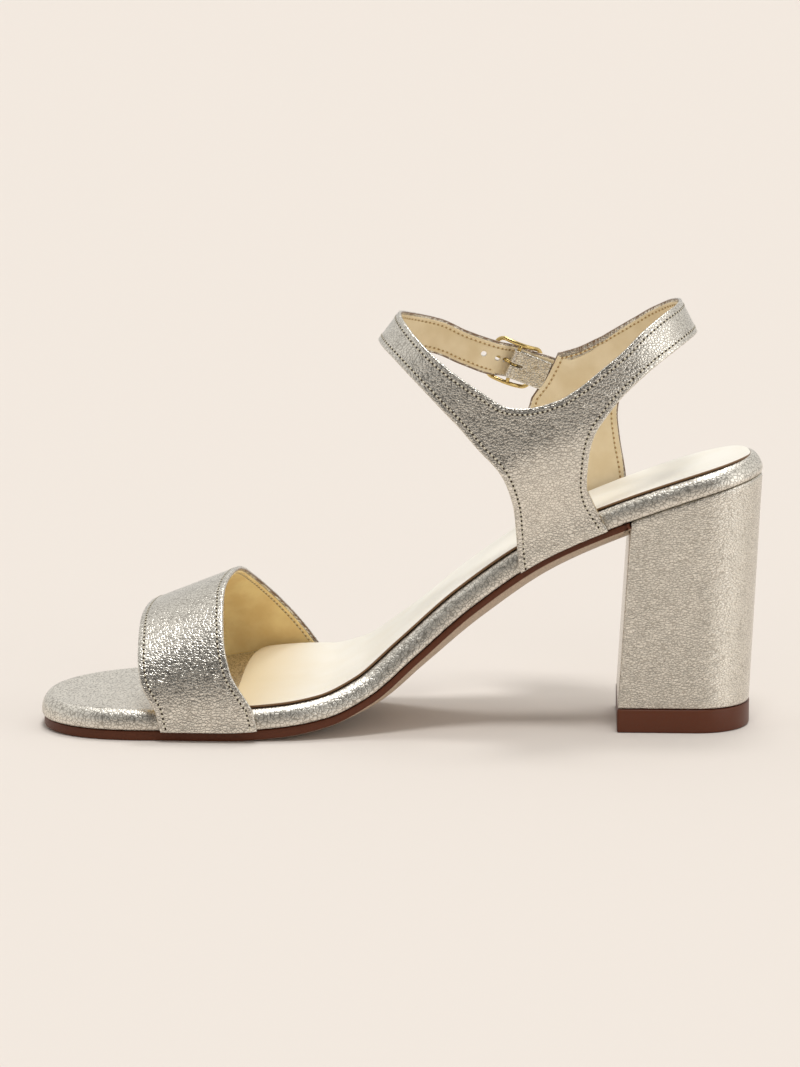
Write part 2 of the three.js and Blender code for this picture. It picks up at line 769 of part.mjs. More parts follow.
function buckleFrame() {
  const [a, b] = [buckleLength / 2 - buckleBar, buckleWidth / 2 - buckleBar];
  const [cx, cy] = [a - buckleCorner, b - buckleCorner];
  const turns = [0, 30, 60, 90];
  const railShares = [0.6, 0.2, -0.2, -0.6];
  const corner = (x, y, from) => turns.map((turn) => {
    const angle = (from + turn) * toRadians;
    return [x + buckleCorner * Math.cos(angle), y + buckleCorner * Math.sin(angle)];
  });
  const path = [
    ...corner(cx, cy, 0),
    ...railShares.map((share) => [share * cx, b]),
    ...corner(-cx, cy, 90),
    ...corner(-cx, -cy, 180),
    ...railShares.map((share) => [-share * cx, -b]),
    ...corner(cx, -cy, 270),
  ].map(([x, y]) => new THREE.Vector3(x, y, railLevel(x)));
  const outwards = new THREE.Vector3(0, 0, 1);
  const ring = bar(path, () => buckleBar, 8, true, outwards);
  const ends = [-b, b].map((y) => new THREE.Vector3(0, y, centreBarLevel));
  return join(ring, bar(ends, () => buckleBar * 0.95, 8, false, outwards));
}

function prongPath() {
  const loop = [-50, -90, -130, -170, -210, -240, -270].map((turn) => {
    const angle = turn * toRadians;
    return [loopRadius * Math.cos(angle), centreBarLevel + loopRadius * Math.sin(angle)];
  });
  const top = centreBarLevel + loopRadius;
  const tip = railLevel(buckleLength / 2 - buckleBar) + buckleBar + 2 * clearance + prongRadius * 0.7;
  const reach = buckleLength / 2 - 0.3;
  const shank = [0.22, 0.48, 0.75, 1].map((share) => [share * reach, lerp(top, tip, share ** 1.5)]);
  return [...loop, ...shank].map(([x, z]) => new THREE.Vector3(x, 0, z));
}

function prong(extra = 0) {
  const path = prongPath();
  const taper = (i) => (i === path.length - 1 ? 0.7 : 1);
  return bar(path, (i) => prongRadius * taper(i) + extra, 8, false, new THREE.Vector3(0, 1, 0));
}

// Leather loop round the centre bar, slit for the prong, that meets the quarter's front edge
function buckleTab() {
  const tabReach = 6.6;
  const outer = buckleBar + clearance + tabLayer;
  const shape = new THREE.Shape();
  shape.moveTo(-tabReach, 0);
  shape.lineTo(-2.4, 0);
  for (let turn = -110; turn <= 110; turn += 20) {
    const angle = turn * toRadians;
    shape.lineTo(outer * Math.cos(angle), centreBarLevel + outer * Math.sin(angle));
  }
  shape.lineTo(-2.8, 2 * tabLayer + 0.5);
  shape.lineTo(-tabReach, 2 * tabLayer);
  const hole = new THREE.Path();
  hole.absarc(0, centreBarLevel, buckleBar + clearance, 0, 2 * Math.PI, true);
  shape.holes.push(hole);
  const fold = new THREE.ExtrudeGeometry(shape, { depth: tabWidth, bevelEnabled: false, curveSegments: 6 });
  fold.rotateX(Math.PI / 2);
  fold.translate(0, tabWidth / 2, 0);
  const slit = new THREE.BoxGeometry(5.8, 2 * (prongRadius + clearance), 8);
  slit.translate(0.1, 0, centreBarLevel);
  return cut(fold, slit);
}

// Strap, quarters and the holes for the prong
function ankleUpper() {
  const { grid, prouds } = ankleGrid(2, 5);
  const whole = shell(grid.map((points) => points.reverse()), ankleWall, (i) => prouds[i]);
  const slot = prong(clearance).applyMatrix4(axes);
  return holePlaces().reduce((geometry, [x, y]) => {
    const tool = new THREE.CylinderGeometry(holeRadius, holeRadius, 12, 10);
    tool.rotateX(Math.PI / 2);
    tool.translate(x, y, 2);
    return cut(geometry, tool.applyMatrix4(axes));
  }, cut(whole, slot));
}

const holeRadius = 0.95;
const holePitch = 5;
const prongHole = 0.7;

// The strap's other holes, two before the buckle and two behind it, in the buckle's own axes
function holePlaces() {
  return [2, 1, -1, -2].map((step) => [prongHole + step * holePitch, 0]);
}

const sandal = new THREE.Group();

function add(name, geometry, finish, matrix) {
  geometry.computeVertexNormals();
  const mesh = new THREE.Mesh(geometry, finish);
  mesh.name = name;
  if (matrix) matrix.decompose(mesh.position, mesh.quaternion, mesh.scale);
  sandal.add(mesh);
}

add('heel_lift', heelLift(), liftRubber);
add('heel_block', heelBlock(), metallicLeather);
add('outsole', outsole(), soleLeather);
add('footbed', footbed(), metallicLeather);
add('sock_lining', sock(), sockLeather);
add('vamp_band', vampBand(), metallicLeather);
add('ankle_upper', ankleUpper(), metallicLeather);
add('buckle_tab', buckleTab(), metallicLeather, axes);
add('buckle_frame', buckleFrame(), brass, axes);
add('buckle_prong', prong(), brass, axes);

// The origin is the middle of the sandal's box, on the floor
const part = new THREE.Group();
part.add(sandal);
sandal.updateMatrixWorld(true);
const box = new THREE.Box3().setFromObject(sandal, true);
const centre = box.getCenter(new THREE.Vector3());
sandal.position.set(-centre.x, -centre.y, -box.min.z);

export default part;
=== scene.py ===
"""A heeled sandal for the right foot: leather covers, linings, stitching and buckle.

Shapes are worked out in millimetres. A place on the sole is told by `along` (from the toe tip),
`across` (the medial side is negative) and `lift` (square to the underside of the footbed).
"""

import math

import bmesh
import bpy
import numpy as np
from mathutils import Matrix, Vector


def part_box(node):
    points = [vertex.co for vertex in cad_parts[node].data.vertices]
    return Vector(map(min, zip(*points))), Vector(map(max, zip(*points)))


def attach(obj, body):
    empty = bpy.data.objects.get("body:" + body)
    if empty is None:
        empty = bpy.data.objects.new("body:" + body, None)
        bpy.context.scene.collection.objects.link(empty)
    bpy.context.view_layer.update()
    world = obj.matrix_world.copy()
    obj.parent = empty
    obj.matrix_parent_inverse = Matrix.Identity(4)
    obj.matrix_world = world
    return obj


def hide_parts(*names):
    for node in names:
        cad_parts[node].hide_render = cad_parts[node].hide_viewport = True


bl_info = {
    "name": "Heeled Sandal",
    "version": (1, 0, 0),
    "blender": (4, 5, 0),
    "location": "View3D > Sidebar > Sandal",
    "description": "Dresses a packed heeled sandal in leather, thread and metal",
    "category": "Object",
}

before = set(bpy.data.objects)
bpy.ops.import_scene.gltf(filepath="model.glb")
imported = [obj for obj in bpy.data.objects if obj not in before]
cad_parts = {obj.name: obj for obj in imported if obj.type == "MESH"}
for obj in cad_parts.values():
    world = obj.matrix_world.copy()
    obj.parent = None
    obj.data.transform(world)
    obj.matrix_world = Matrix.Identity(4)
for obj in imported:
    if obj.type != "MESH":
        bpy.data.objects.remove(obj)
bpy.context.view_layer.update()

MM = 0.001
CLEARANCE = 0.3

# The footbed's underside: share of the length, share of the heel's rise
PROFILE = [
    (0.00, 0), (0.26, 0), (0.33, 0.012), (0.40, 0.043), (0.46, 0.121), (0.52, 0.268),
    (0.60, 0.471), (0.70, 0.672), (0.80, 0.805), (0.90, 0.911), (1.00, 1),
]
# Half widths of the footbed: share of the length, medial and lateral share of half the ball width
OUTLINE = [
    (0.00, 0.93, 0.93), (0.10, 0.955, 0.96), (0.20, 0.975, 1.00), (0.28, 0.985, 1.02),
    (0.35, 0.955, 0.99), (0.42, 0.85, 0.86), (0.50, 0.69, 0.69), (0.58, 0.60, 0.58),
    (0.66, 0.585, 0.57), (0.76, 0.62, 0.62), (0.88, 0.655, 0.66), (1.00, 0.65, 0.65),
]
# Camber of the outsole and thickness of its edge: share of the length, shares of the full values
SHANK = [
    (0.00, 0, 1), (0.34, 0, 1), (0.40, 0.3, 0.85), (0.45, 0.7, 0.7), (0.53, 0.84, 0.62),
    (0.62, 1, 0.6), (1.00, 0.85, 0.6),
]
# Edges of the vamp band: turn over the toes in degrees, front and rear share of the length
VAMP = [
    (0, 0.174, 0.303), (18, 0.153, 0.272), (34, 0.149, 0.263), (62, 0.148, 0.260),
    (90, 0.154, 0.269), (118, 0.169, 0.282), (132, 0.180, 0.297), (146, 0.195, 0.319),
    (162, 0.214, 0.349), (180, 0.228, 0.383),
]
# Ribs of the ankle upper: turn and height at the lower edge, turn and height at the upper edge, how
# proud the rib stands, and 1 where the edge breaks. A height of None stands on the outsole.
RIBS = [
    (-91.3, 0.556, -86.4, 0.756, 0, 0), (-92, 0.430, -85.6, 0.758, 0, 0),
    (-91.5, 0.258, -84.6, 0.762, 0, 0), (-90.5, 0.100, -83.4, 0.767, 0, 0),
    (-89.8, None, -82.2, 0.772, 0, 1), (-84.5, None, -80.4, 0.780, 0, 0),
    (-78, None, -78.6, 0.790, 0, 0), (-70.3, None, -76.6, 0.802, 0, 1),
    (-70, 0.258, -74.4, 0.815, 0, 0), (-70.3, 0.391, -71.6, 0.830, 0, 0),
    (-69.8, 0.510, -67.7, 0.854, 0, 0), (-66.5, 0.616, -62.8, 0.881, 0, 0),
    (-59, 0.709, -55.4, 0.917, 0, 0), (-45, 0.808, -42.5, 0.967, 0, 0),
    (-24, 0.872, -23, 1.010, 0, 0), (0, 0.892, 0, 1.022, 0, 0),
    (20, 0.880, 19, 1.010, 0, 0), (37, 0.841, 36, 0.980, 0, 0),
    (52.3, 0.775, 51.4, 0.921, 0, 0), (65.6, 0.675, 64, 0.834, 0, 0),
    (73.6, 0.570, 73, 0.762, 0, 0), (77.5, 0.483, 78.7, 0.706, 0, 0),
    (79.2, 0.364, 82.2, 0.673, 0, 0), (79.2, 0.232, 85, 0.646, 0, 0),
    (75.4, None, 87.1, 0.634, 0, 1), (81.5, None, 89.5, 0.618, 0, 0),
    (86, None, 91.6, 0.608, 0, 0), (90.2, None, 94, 0.606, 0, 1),
    (91.3, 0.086, 96, 0.609, 0, 0), (92.5, 0.219, 98.2, 0.618, 0, 0),
    (95.3, 0.338, 101.1, 0.641, 0, 0), (100.6, 0.430, 106.2, 0.682, 0, 0),
    (110, 0.556, 115, 0.742, 0, 0), (124.8, 0.686, 128.1, 0.821, 0, 0),
    (142, 0.781, 142, 0.887, 0, 0), (160, 0.832, 158, 0.937, 0, 0),
    (180, 0.848, 178, 0.962, 0, 0), (206, 0.812, 202, 0.948, 0, 0),
    (232.3, 0.768, 228, 0.910, 0, 0), (246, 0.713, 244, 0.852, 0, 0),
    (255.5, 0.668, 257, 0.802, 0.5, 0), (262, 0.643, 263.6, 0.772, 4, 0),
    (270, 0.600, 272, 0.728, 2.2, 0), (278, 0.552, 280.5, 0.680, 2, 0),
    (285, 0.508, 288, 0.625, 2, 0), (289.5, 0.523, 291.5, 0.563, 2, 0),
]
FOOT_RIBS = ((4, 7), (24, 27))
# Brown of cut leather edges; on the ankle upper's rims the same brown is painted shade along the lining's
# edge
CUT_EDGE_AND_SHADE_BROWN = (112, 82, 52)
OUTER_SEAM = ("thread", "needle_hole")
INNER_SEAM = ("lining_thread", "lining_needle_hole")

OUTSOLE_THICKNESS = 3.1
OUTSOLE_INSET = 0.9
CAMBER = 4.2
CAMBER_POWER = 3
TOE_SPRING = (0.6, 0.11)
TOE_ROUND = (0.165, 2.2)
SEAT_ROUND = (0.11, 2.5)
FOREFOOT_SWING = 3
TOE_SWING = (8, 0.2)
FOOTBED_THICKNESS = 6.5
FOOTBED_EDGE_RADIUS = 2.8
FOOTBED_EDGE_DROP = 4.8
HEEL_DISH = 1.2
RIM_RISE = (5.6, 0.10, 0.58)
SOCK_INSET = 2.4
SOCK_THICKNESS = 0.8
SOCK_START = 0.262
SOCK_CORNER = 11
HEEL_BASE_LENGTH = 42.8
HEEL_BASE_WIDTH = 44
HEEL_BASE_BACK = 3.7
BREAST_DEPTH = 43
HEEL_BASE_ROUND = (0.43, 2.15)
HEEL_CORNER = 0.8
HEEL_INSET = 0.7
HEEL_WAIST = 0.012
LIFT_THICKNESS = 7.6
LIFT_PROUD = 0.15
VAMP_FRONT_RISE = 27.7
VAMP_REAR_RISE = 38.2
VAMP_CROWN_SHIFT = 3
VAMP_EASE = 0.35
VAMP_ROUND = 0.94
VAMP_FOOT_LEAN = 0.006
VAMP_FOOT_ROWS = 10
COLLAR_RISE = 75.5
COLLAR_SEAT = 0.72
RING_CENTRE = 0.702
RING_FRONT = (44.9, 0.66)
RING_BACK = (42, 0.61)
RING_LEAN = 0.09
RING_HALF_WIDTH = (26, 0.115)
RING_POWER = 2.3
RING_EASE = 0.5
QUARTER_FLARE = 32
BUCKLE_SEAT = (263, 0.707)
BUCKLE_SLOPE = (7.5, 0.044)
BUCKLE_BAR = 0.7
BUCKLE_CORNER = 2.6
CENTRE_BAR_LEVEL = 1.45
RAIL_RISES = (3.2, 5.7)
PRONG_RADIUS = 0.65
TAB_WIDTH = 9.6
TAB_LAYER = 0.75
TAB_LEATHER = 0.68
TAB_REACH = 11.5
HOLE_PLACES = (10.7, 5.7, -4.3, -9.3)
HOLE_RADIUS = 0.95


def smoothstep(x, low, high):
    """0 below low, 1 above high, and 3t2 - 2t3 between."""
    t = np.clip((x - low) / (high - low), 0, 1)
    return t * t * (3 - 2 * t)


def round_off(from_end, rounding):
    """(1 - g^p)^(1/p), where g falls from 1 at the end itself to 0 at the rounding's length."""
    length, power = rounding
    gone = np.clip(1 - from_end / length, 0, 1)
    return (1 - gone**power) ** (1 / power)


def through(rows, column):
    """A monotone cubic through a table's column: slopes are harmonic means of the secants."""
    x = np.array([row[0] for row in rows], float)
    y = np.array([row[column] for row in rows], float)
    secant = np.diff(y) / np.diff(x)
    before, after = secant[:-1], secant[1:]
    total = np.where(before + after == 0, 1, before + after)
    inner = np.where(before * after <= 0, 0, 2 * before * after / total)
    slope = np.concatenate([secant[:1], inner, secant[-1:]])

    def at(where):
        where = np.asarray(where, float)
        i = np.clip(np.searchsorted(x, where, side="right") - 1, 0, len(x) - 2)
        step = x[i + 1] - x[i]
        t = np.clip((where - x[i]) / step, 0, 1)
        u = 1 - t
        ends = (1 + 2 * t) * u * u * y[i] + t * t * (3 - 2 * t) * y[i + 1]
        return ends + t * u * u * step * slope[i] - t * t * u * step * slope[i + 1]

    return at


def through_list(values, corners):
    """A Catmull-Rom curve through values at whole numbers; at a corner the next value is mirrored."""
    values = np.array(values, float)
    corners = np.array(corners, bool)
    last = len(values) - 2

    def at(where):
        i = np.clip(np.floor(where).astype(int), 0, last)
        t = where - i
        a, b = values[i], values[i + 1]
        before = np.where((i == 0) | corners[i], 2 * a - b, values[np.maximum(i - 1, 0)])
        beyond = values[np.minimum(i + 2, last + 1)]
        after = np.where((i == last) | corners[i + 1], 2 * b - a, beyond)
        square = (2 * before - 5 * a + 4 * b - after) * t * t
        cube = (3 * a - before - 3 * b + after) * t**3
        return 0.5 * (2 * a + (b - before) * t + square + cube)

    return at


rise_at = through(PROFILE, 1)
medial_at = through(OUTLINE, 1)
lateral_at = through(OUTLINE, 2)
camber_at = through(SHANK, 1)
edge_at = through(SHANK, 2)


def sizes():
    return bpy.context.scene.sandal_sizes


def sole_length():
    return sizes().sole_length / MM


def underside(along):
    """Height of the footbed's underside: the profile times the heel's rise, and the toe spring."""
    share = along / sole_length()
    height, reach = TOE_SPRING
    spring = height * np.clip(1 - share / reach, 0, 1) ** 2
    return OUTSOLE_THICKNESS + CLEARANCE + sizes().heel_rise / MM * rise_at(share) + spring


def slope_at(along):
    """Rise over run of the underside, by a central difference."""
    step = sole_length() / 500
    low = np.maximum(along - step, 0)
    high = np.minimum(along + step, sole_length())
    return (underside(high) - underside(low)) / (high - low)


def half_width(along, side):
    """Half width of the footbed: the side's table, rounded off at the toe and at the seat."""
    share = along / sole_length()
    table = np.where(np.asarray(side) < 0, medial_at(share), lateral_at(share))
    ends = round_off(share, TOE_ROUND) * round_off(1 - share, SEAT_ROUND)
    return sizes().ball_width / MM / 2 * table * ends


def middle(along):
    """The middle line swings to the medial side in front of the waist, and at the big toe by a
    squared share of the way to the tip."""
    share = along / sole_length()
    shift, reach = TOE_SWING
    toe = shift * np.clip(1 - share / reach, 0, 1) ** 2
    return -FOREFOOT_SWING * (1 - smoothstep(share, 0.3, 0.72)) - toe


def outwards(along, across):
    """Share of the way from the middle line to the edge."""
    return across / np.maximum(half_width(along, np.sign(across)), 1)


def dish(along, across):
    """Hollow of the seat: a parabola across, faded in towards the heel."""
    reach = smoothstep(along / sole_length(), 0.6, 0.9)
    return -HEEL_DISH * reach * np.clip(1 - outwards(along, across) ** 2, 0, 1)


def rim(along, across):
    """Build-up of the lateral rim behind the ball: a squared sine along, smooth across."""
    height, low, high = RIM_RISE
    share = np.clip((along / sole_length() - low) / (high - low), 0, 1)
    return height * np.sin(np.pi * share) ** 2 * smoothstep(outwards(along, across), 0, 1)


def hollow(along, across):
    """The shape of the footbed's top: the seat's dish and the built-up rim."""
    return dish(along, across) + rim(along, across)


def place(along, across, lift):
    """The point at (along, across), moved by lift square to the underside."""
    slope = slope_at(along)
    scale = 1 / np.hypot(1, slope)
    x = along - lift * slope * scale
    return np.stack([x, across + middle(along), underside(along) + lift * scale], -1)


def along_at(x, z):
    """The place along the sole that a point beside the footbed is square to."""
    inside = np.clip(x, 0, sole_length())
    slope = slope_at(inside)
    lift = z - underside(inside)
    return np.clip(x + lift * slope / (1 + slope * slope), 0, sole_length())


def footbed_top(x):
    """Height of the footbed's top, upright over x."""
    return underside(x) + FOOTBED_THICKNESS * np.hypot(1, slope_at(x))


def row_offset():
    """Moves the sandal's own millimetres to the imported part's: the heel lift is in the same place."""
    low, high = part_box("heel_lift")
    heel_back = sole_length() - HEEL_BASE_BACK + LIFT_PROUD
    return np.array([high.x / MM - heel_back, (low.y + high.y) / 2 / MM, 0])


def unit(vectors):
    length = np.linalg.norm(vectors, axis=-1, keepdims=True)
    return vectors / np.maximum(length, 1e-9)


# Meshes


def weld(mesh):
    """Merges the doubles where seams and poles meet, and drops the faces left without area."""
    body = bmesh.new()
    body.from_mesh(mesh)
    bmesh.ops.remove_doubles(body, verts=body.verts, dist=2e-7)
    bmesh.ops.dissolve_degenerate(body, edges=body.edges, dist=1e-7)
    body.to_mesh(mesh)
    body.free()


def new_piece(name, points, faces, material, closed=True):
    """A mesh from points in the sandal's millimetres, its doubles merged and its seams closed."""
    mesh = bpy.data.meshes.new(name)
    placed = (np.reshape(points, (-1, 3)) + row_offset()) * MM
    mesh.from_pydata(placed.tolist(), [], [list(face) for face in faces])
    if closed:
        weld(mesh)
    mesh.validate()
    mesh.shade_smooth()
    piece = bpy.data.objects.new(name, mesh)
    bpy.context.scene.collection.objects.link(piece)
    mesh.materials.append(material)
    return piece


def marked_piece(name, points, faces, marks, material):
    """A piece whose points carry a share called edge, from 0 to 1, that its finish reads."""
    piece = new_piece(name, points, faces, material, closed=False)
    attribute = piece.data.attributes.new("edge", "FLOAT", "POINT")
    attribute.data.foreach_set("value", np.asarray(marks, np.float32))
    weld(piece.data)
    return piece


def add_modifier(piece, kind, **values):
    modifier = piece.modifiers.new(kind.title(), kind)
    for key, value in values.items():
        setattr(modifier, key, value)
    return modifier


def settle(piece):
    """Applies the piece's modifiers."""
    graph = bpy.context.evaluated_depsgraph_get()
    mesh = bpy.data.meshes.new_from_object(piece.evaluated_get(graph))
    piece.modifiers.clear()
    piece.data = mesh


def finish_piece(piece, slot_name, *nodes):
    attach(piece, "root")
    if nodes:
        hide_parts(*nodes)
    return piece


def ring_faces(levels, count):
    """Quads between closed rings of count points; the face looks along (ring's way) x (next ring)."""
    i, j = np.meshgrid(np.arange(levels - 1), np.arange(count), indexing="ij")
    k = (j + 1) % count
    quads = np.stack([i * count + j, i * count + k, (i + 1) * count + k, (i + 1) * count + j], -1)
    return quads.reshape(-1, 4).tolist()


def sheet_faces(rows, columns, start=0, flip=False):
    """Quads of a sheet; the face looks along (next row) x (next column)."""
    i, j = np.meshgrid(np.arange(rows - 1), np.arange(columns - 1), indexing="ij")
    corner = start + i * columns + j
    quads = np.stack([corner, corner + columns, corner + columns + 1, corner + 1], -1).reshape(-1, 4)
    return (quads[:, ::-1] if flip else quads).tolist()


def grid_normals(grid):
    """Unit normals of a grid of points: (along the rows) x (along the columns)."""
    return unit(np.cross(np.gradient(grid, axis=0), np.gradient(grid, axis=1)))


def border_indices(rows, columns):
    """The grid's border as a loop: first column, last row, last column back, first row back."""
    i = [*range(rows), *[rows - 1] * (columns - 1), *range(rows - 2, -1, -1), *[0] * (columns - 2)]
    j = [*[0] * rows, *range(1, columns), *[columns - 1] * (rows - 1), *range(columns - 2, 0, -1)]
    return np.array(i), np.array(j)


def border_frame(grid, normals):
    """For the border loop: points, normals, and directions out of the sheet square to the edge."""
    i, j = border_indices(*grid.shape[:2])
    points, up = grid[i, j], normals[i, j]
    edge = unit(np.roll(points, -1, 0) - np.roll(points, 1, 0))
    inside = grid[np.clip(i, 1, grid.shape[0] - 2), np.clip(j, 1, grid.shape[1] - 2)]
    out = unit(np.cross(edge, up))
    return points, up, out * np.sign(np.sum(out * (points - inside)))


def wall(grid, normals, low, high, bulge):
    """A closed wall: a sheet at low and one at high along the normals, joined by a half round rim.

    The rim at angle a, from -90 to 90 degrees, is P + N (mid + half sin a) + T bulge cos a. Its
    inner part is marked for the brown of cut leather, which on the ankle upper is painted shade
    along the lining's edge.
    """
    points, up, out = border_frame(grid, normals)
    mid, half = (low + high) / 2, (high - low) / 2
    angles = np.radians([-90, -60, -30, 0, 30, 60, 90])
    rims = [points + up * (mid + half * math.sin(a)) + out * bulge * math.cos(a) for a in angles]
    rows, columns = grid.shape[:2]
    count = rows * columns
    everything = [(grid + normals * low).reshape(-1, 3), (grid + normals * high).reshape(-1, 3), *rims]
    faces = sheet_faces(rows, columns, 0, True) + sheet_faces(rows, columns, count)
    loop = len(points)
    bands = np.array(ring_faces(len(rims), loop)) + 2 * count
    faces += bands.tolist()
    marks = np.concatenate([np.zeros(2 * count), np.repeat([1, 1, 0.7, 0, 0, 0, 0], loop)])
    return np.concatenate(everything), faces, marks


def slab_levels(loop, spine, steps, shape=None):
    """Levels of a slab. A step is a share drawn to the spine, a distance inwards and a lift, and
    the shape adds its own lift at (along, across)."""
    levels = []
    for share, distance, lift in steps:
        ring = inset(loop, distance)
        ring = ring + (spine - ring) * share
        added = shape(*ring.T) if shape else np.zeros(len(ring))
        levels.append((ring, lift + added))
    return levels


def slab(levels):
    """Closed slab: rings of (loop of along and across, lift), from its underside to its top."""
    rings = [place(loop[:, 0], loop[:, 1], lift) for loop, lift in levels]
    return np.concatenate(rings), ring_faces(len(rings), len(levels[0][0]))


def stations(low, high, count):
    return low + (high - low) * (0.5 - 0.5 * np.cos(np.pi * np.arange(count + 1) / count))


def outline_loop(low, high, count, front=None):
    """Loop of (along, across): along the medial side to the heel and back along the lateral side."""
    along = stations(low, high, count)
    fade = 1 if front is None else front(along)
    medial = np.stack([along, -half_width(along, -1) * fade], -1)
    lateral = np.stack([along, half_width(along, 1) * fade], -1)[::-1]
    back = np.linspace(0, 1, 26)[1:-1, None]
    closing = medial[-1] + (lateral[0] - medial[-1]) * back
    if np.allclose(medial[-1], lateral[0]):
        return np.concatenate([medial, lateral[1:-1]])
    return np.concatenate([medial, closing, lateral[:-1]])


def inset(loop, distance):
    """The loop moved inwards, square to itself."""
    way = unit(np.roll(loop, -1, 0) - np.roll(loop, 1, 0))
    return loop + distance * np.stack([-way[:, 1], way[:, 0]], -1)


def shrunk(loop, distance, share):
    """The loop moved inwards, and then drawn by a share to its centre."""
    ring = inset(loop, distance)
    return ring + (loop.mean(0) - ring) * share


def spine_of(loop, low, high):
    """The places on the middle line, between low and high, that the loop's points are drawn to."""
    return np.stack([np.clip(loop[:, 0], low, high), np.zeros(len(loop))], -1)


# Materials


def linear(colour):
    """sRGB, 0 to 255, to linear."""
    c = np.array(colour, float) / 255
    return tuple(np.where(c <= 0.04045, c / 12.92, ((c + 0.055) / 1.055) ** 2.4).tolist())


class Finish:
    """A node material under construction."""

    def __init__(self, name):
        self.material = bpy.data.materials.new(name)
        self.material.use_nodes = True
        self.tree = self.material.node_tree
        self.tree.nodes.clear()
        self.output = self.tree.nodes.new("ShaderNodeOutputMaterial")
        self.shader = self.tree.nodes.new("ShaderNodeBsdfPrincipled")
        self.link(self.shader.outputs["BSDF"], self.output.inputs["Surface"])
        self.where = self.tree.nodes.new("ShaderNodeTexCoord").outputs["Object"]

    def link(self, source, target):
        self.tree.links.new(source, target)

    def node(self, kind, inputs=None, **values):
        node = self.tree.nodes.new(kind)
        for key, value in values.items():
            setattr(node, key, value)
        for key, value in (inputs or {}).items():
            if isinstance(value, bpy.types.NodeSocket):
                self.link(value, node.inputs[key])
            else:
                node.inputs[key].default_value = value
        return node

    def noise(self, size, detail=3, vector=None):
        inputs = {"Vector": vector or self.where, "Scale": 1 / (size * MM), "Detail": detail}
        return self.node("ShaderNodeTexNoise", inputs).outputs["Fac"]

    def spread(self, value, low, high, to_low, to_high, kind="SMOOTHSTEP"):
        inputs = {"Value": value, "From Min": low, "From Max": high, "To Min": to_low, "To Max": to_high}
        return self.node("ShaderNodeMapRange", inputs, interpolation_type=kind).outputs["Result"]

    def ramp(self, noise, low, high):
        """A straight ramp over the middle of a noise's range."""
        return self.spread(noise, 0.3, 0.7, low, high, "LINEAR")

    def math(self, operation, a, b):
        return self.node("ShaderNodeMath", {0: a, 1: b}, operation=operation).outputs[0]

    def mix(self, factor, a, b, blend="MIX"):
        node = self.node("ShaderNodeMix", data_type="RGBA", blend_type=blend)
        for index, value in ((0, factor), (6, a), (7, b)):
            if isinstance(value, bpy.types.NodeSocket):
                self.link(value, node.inputs[index])
            elif index == 0:
                node.inputs[0].default_value = value
            else:
                node.inputs[index].default_value = (*value, 1)
        return node.outputs[2]

    def bump(self, height, depth, after=None):
        inputs = {"Height": height, "Strength": 1.0, "Distance": depth * MM}
        if after is not None:
            inputs["Normal"] = after
        return self.node("ShaderNodeBump", inputs).outputs["Normal"]

    def edge_share(self):
        return self.node("ShaderNodeAttribute", attribute_name="edge").outputs["Fac"]

    def set(self, **values):
        for key, value in values.items():
            name = key.replace("_", " ")
            if isinstance(value, bpy.types.NodeSocket):
                self.link(value, self.shader.inputs[name])
            elif isinstance(value, tuple):
                self.shader.inputs[name].default_value = (*value, 1)
            else:
                self.shader.inputs[name].default_value = value


def pebbled(name, colour, cell, stretch, depth, crease_dye_and_shade, crease_colour_kept, roughness):
    """Metallic leather: domed pebbles with dark creases between them, and soft wide waves. The
    creases' colour is partly dark dye and partly painted shade; the argument after it is the share
    of the leather's own colour left at the bottom of the creases."""
    made = Finish(name)
    drawn = made.node("ShaderNodeMapping", {"Vector": made.where, "Scale": stretch}).outputs[0]
    wander = {"Vector": drawn, "Scale": 1 / (1.9 * cell * MM), "Detail": 1.0}
    warp = made.node("ShaderNodeTexNoise", wander).outputs["Color"]
    offset = made.node("ShaderNodeVectorMath", {0: warp, 1: (0.5, 0.5, 0.5)}, operation="SUBTRACT")
    moved = made.node(
        "ShaderNodeVectorMath", {0: offset.outputs[0], 1: (1.3 * cell * MM,) * 3, 2: drawn},
        operation="MULTIPLY_ADD").outputs[0]
    scale = {"Vector": moved, "Scale": 1 / (cell * MM)}
    centres = made.node("ShaderNodeTexVoronoi", scale, feature="F1").outputs["Distance"]
    edges = made.node("ShaderNodeTexVoronoi", scale, feature="DISTANCE_TO_EDGE").outputs["Distance"]
    dome = made.spread(centres, 0.0, 0.8, 0.45, 0)
    line = made.spread(edges, 0.0, 0.2, 0, 0.55)
    fine = made.noise(0.3, 2)
    height = made.math("ADD", made.math("ADD", dome, line), made.math("MULTIPLY", fine, 0.2))
    tone = made.ramp(made.noise(4, 4), 0.93, 1.05)
    # Dark colour along the cell edges: partly dye in the creases, partly painted shade in them
    base = made.mix(made.spread(edges, 0.01, 0.14, crease_colour_kept, 1), linear(crease_dye_and_shade), colour)
    grey = made.node("ShaderNodeCombineColor", {0: tone, 1: tone, 2: tone}).outputs[0]
    waves = made.bump(made.noise(13, 2), 0.35)
    # Marked rims turn brown and not metallic: a cut edge on the vamp band, painted shade along the lining's
    # edge on the ankle upper
    rim_brown_and_shade = made.edge_share()
    made.set(
        Base_Color=made.mix(rim_brown_and_shade, made.mix(1.0, base, grey, "MULTIPLY"), linear(CUT_EDGE_AND_SHADE_BROWN)),
        Metallic=made.math("SUBTRACT", 1.0, rim_brown_and_shade),
        Roughness=made.ramp(fine, roughness - 0.06, roughness + 0.08),
        Normal=made.bump(height, depth, waves),
    )
    return made.material


def smooth_leather(name, colour, shadow):
    """Plain leather: fine grain, mottled tone and soft waves."""
    made = Finish(name)
    fine = made.noise(0.5, 3)
    mottle = made.spread(made.noise(9, 3), 0.3, 0.72, 0, 1)
    made.set(
        Base_Color=made.mix(mottle, linear(shadow), colour),
        Roughness=made.ramp(fine, 0.45, 0.57),
        Normal=made.bump(fine, 0.03, made.bump(made.noise(16, 1), 0.4)),
    )
    return made.material


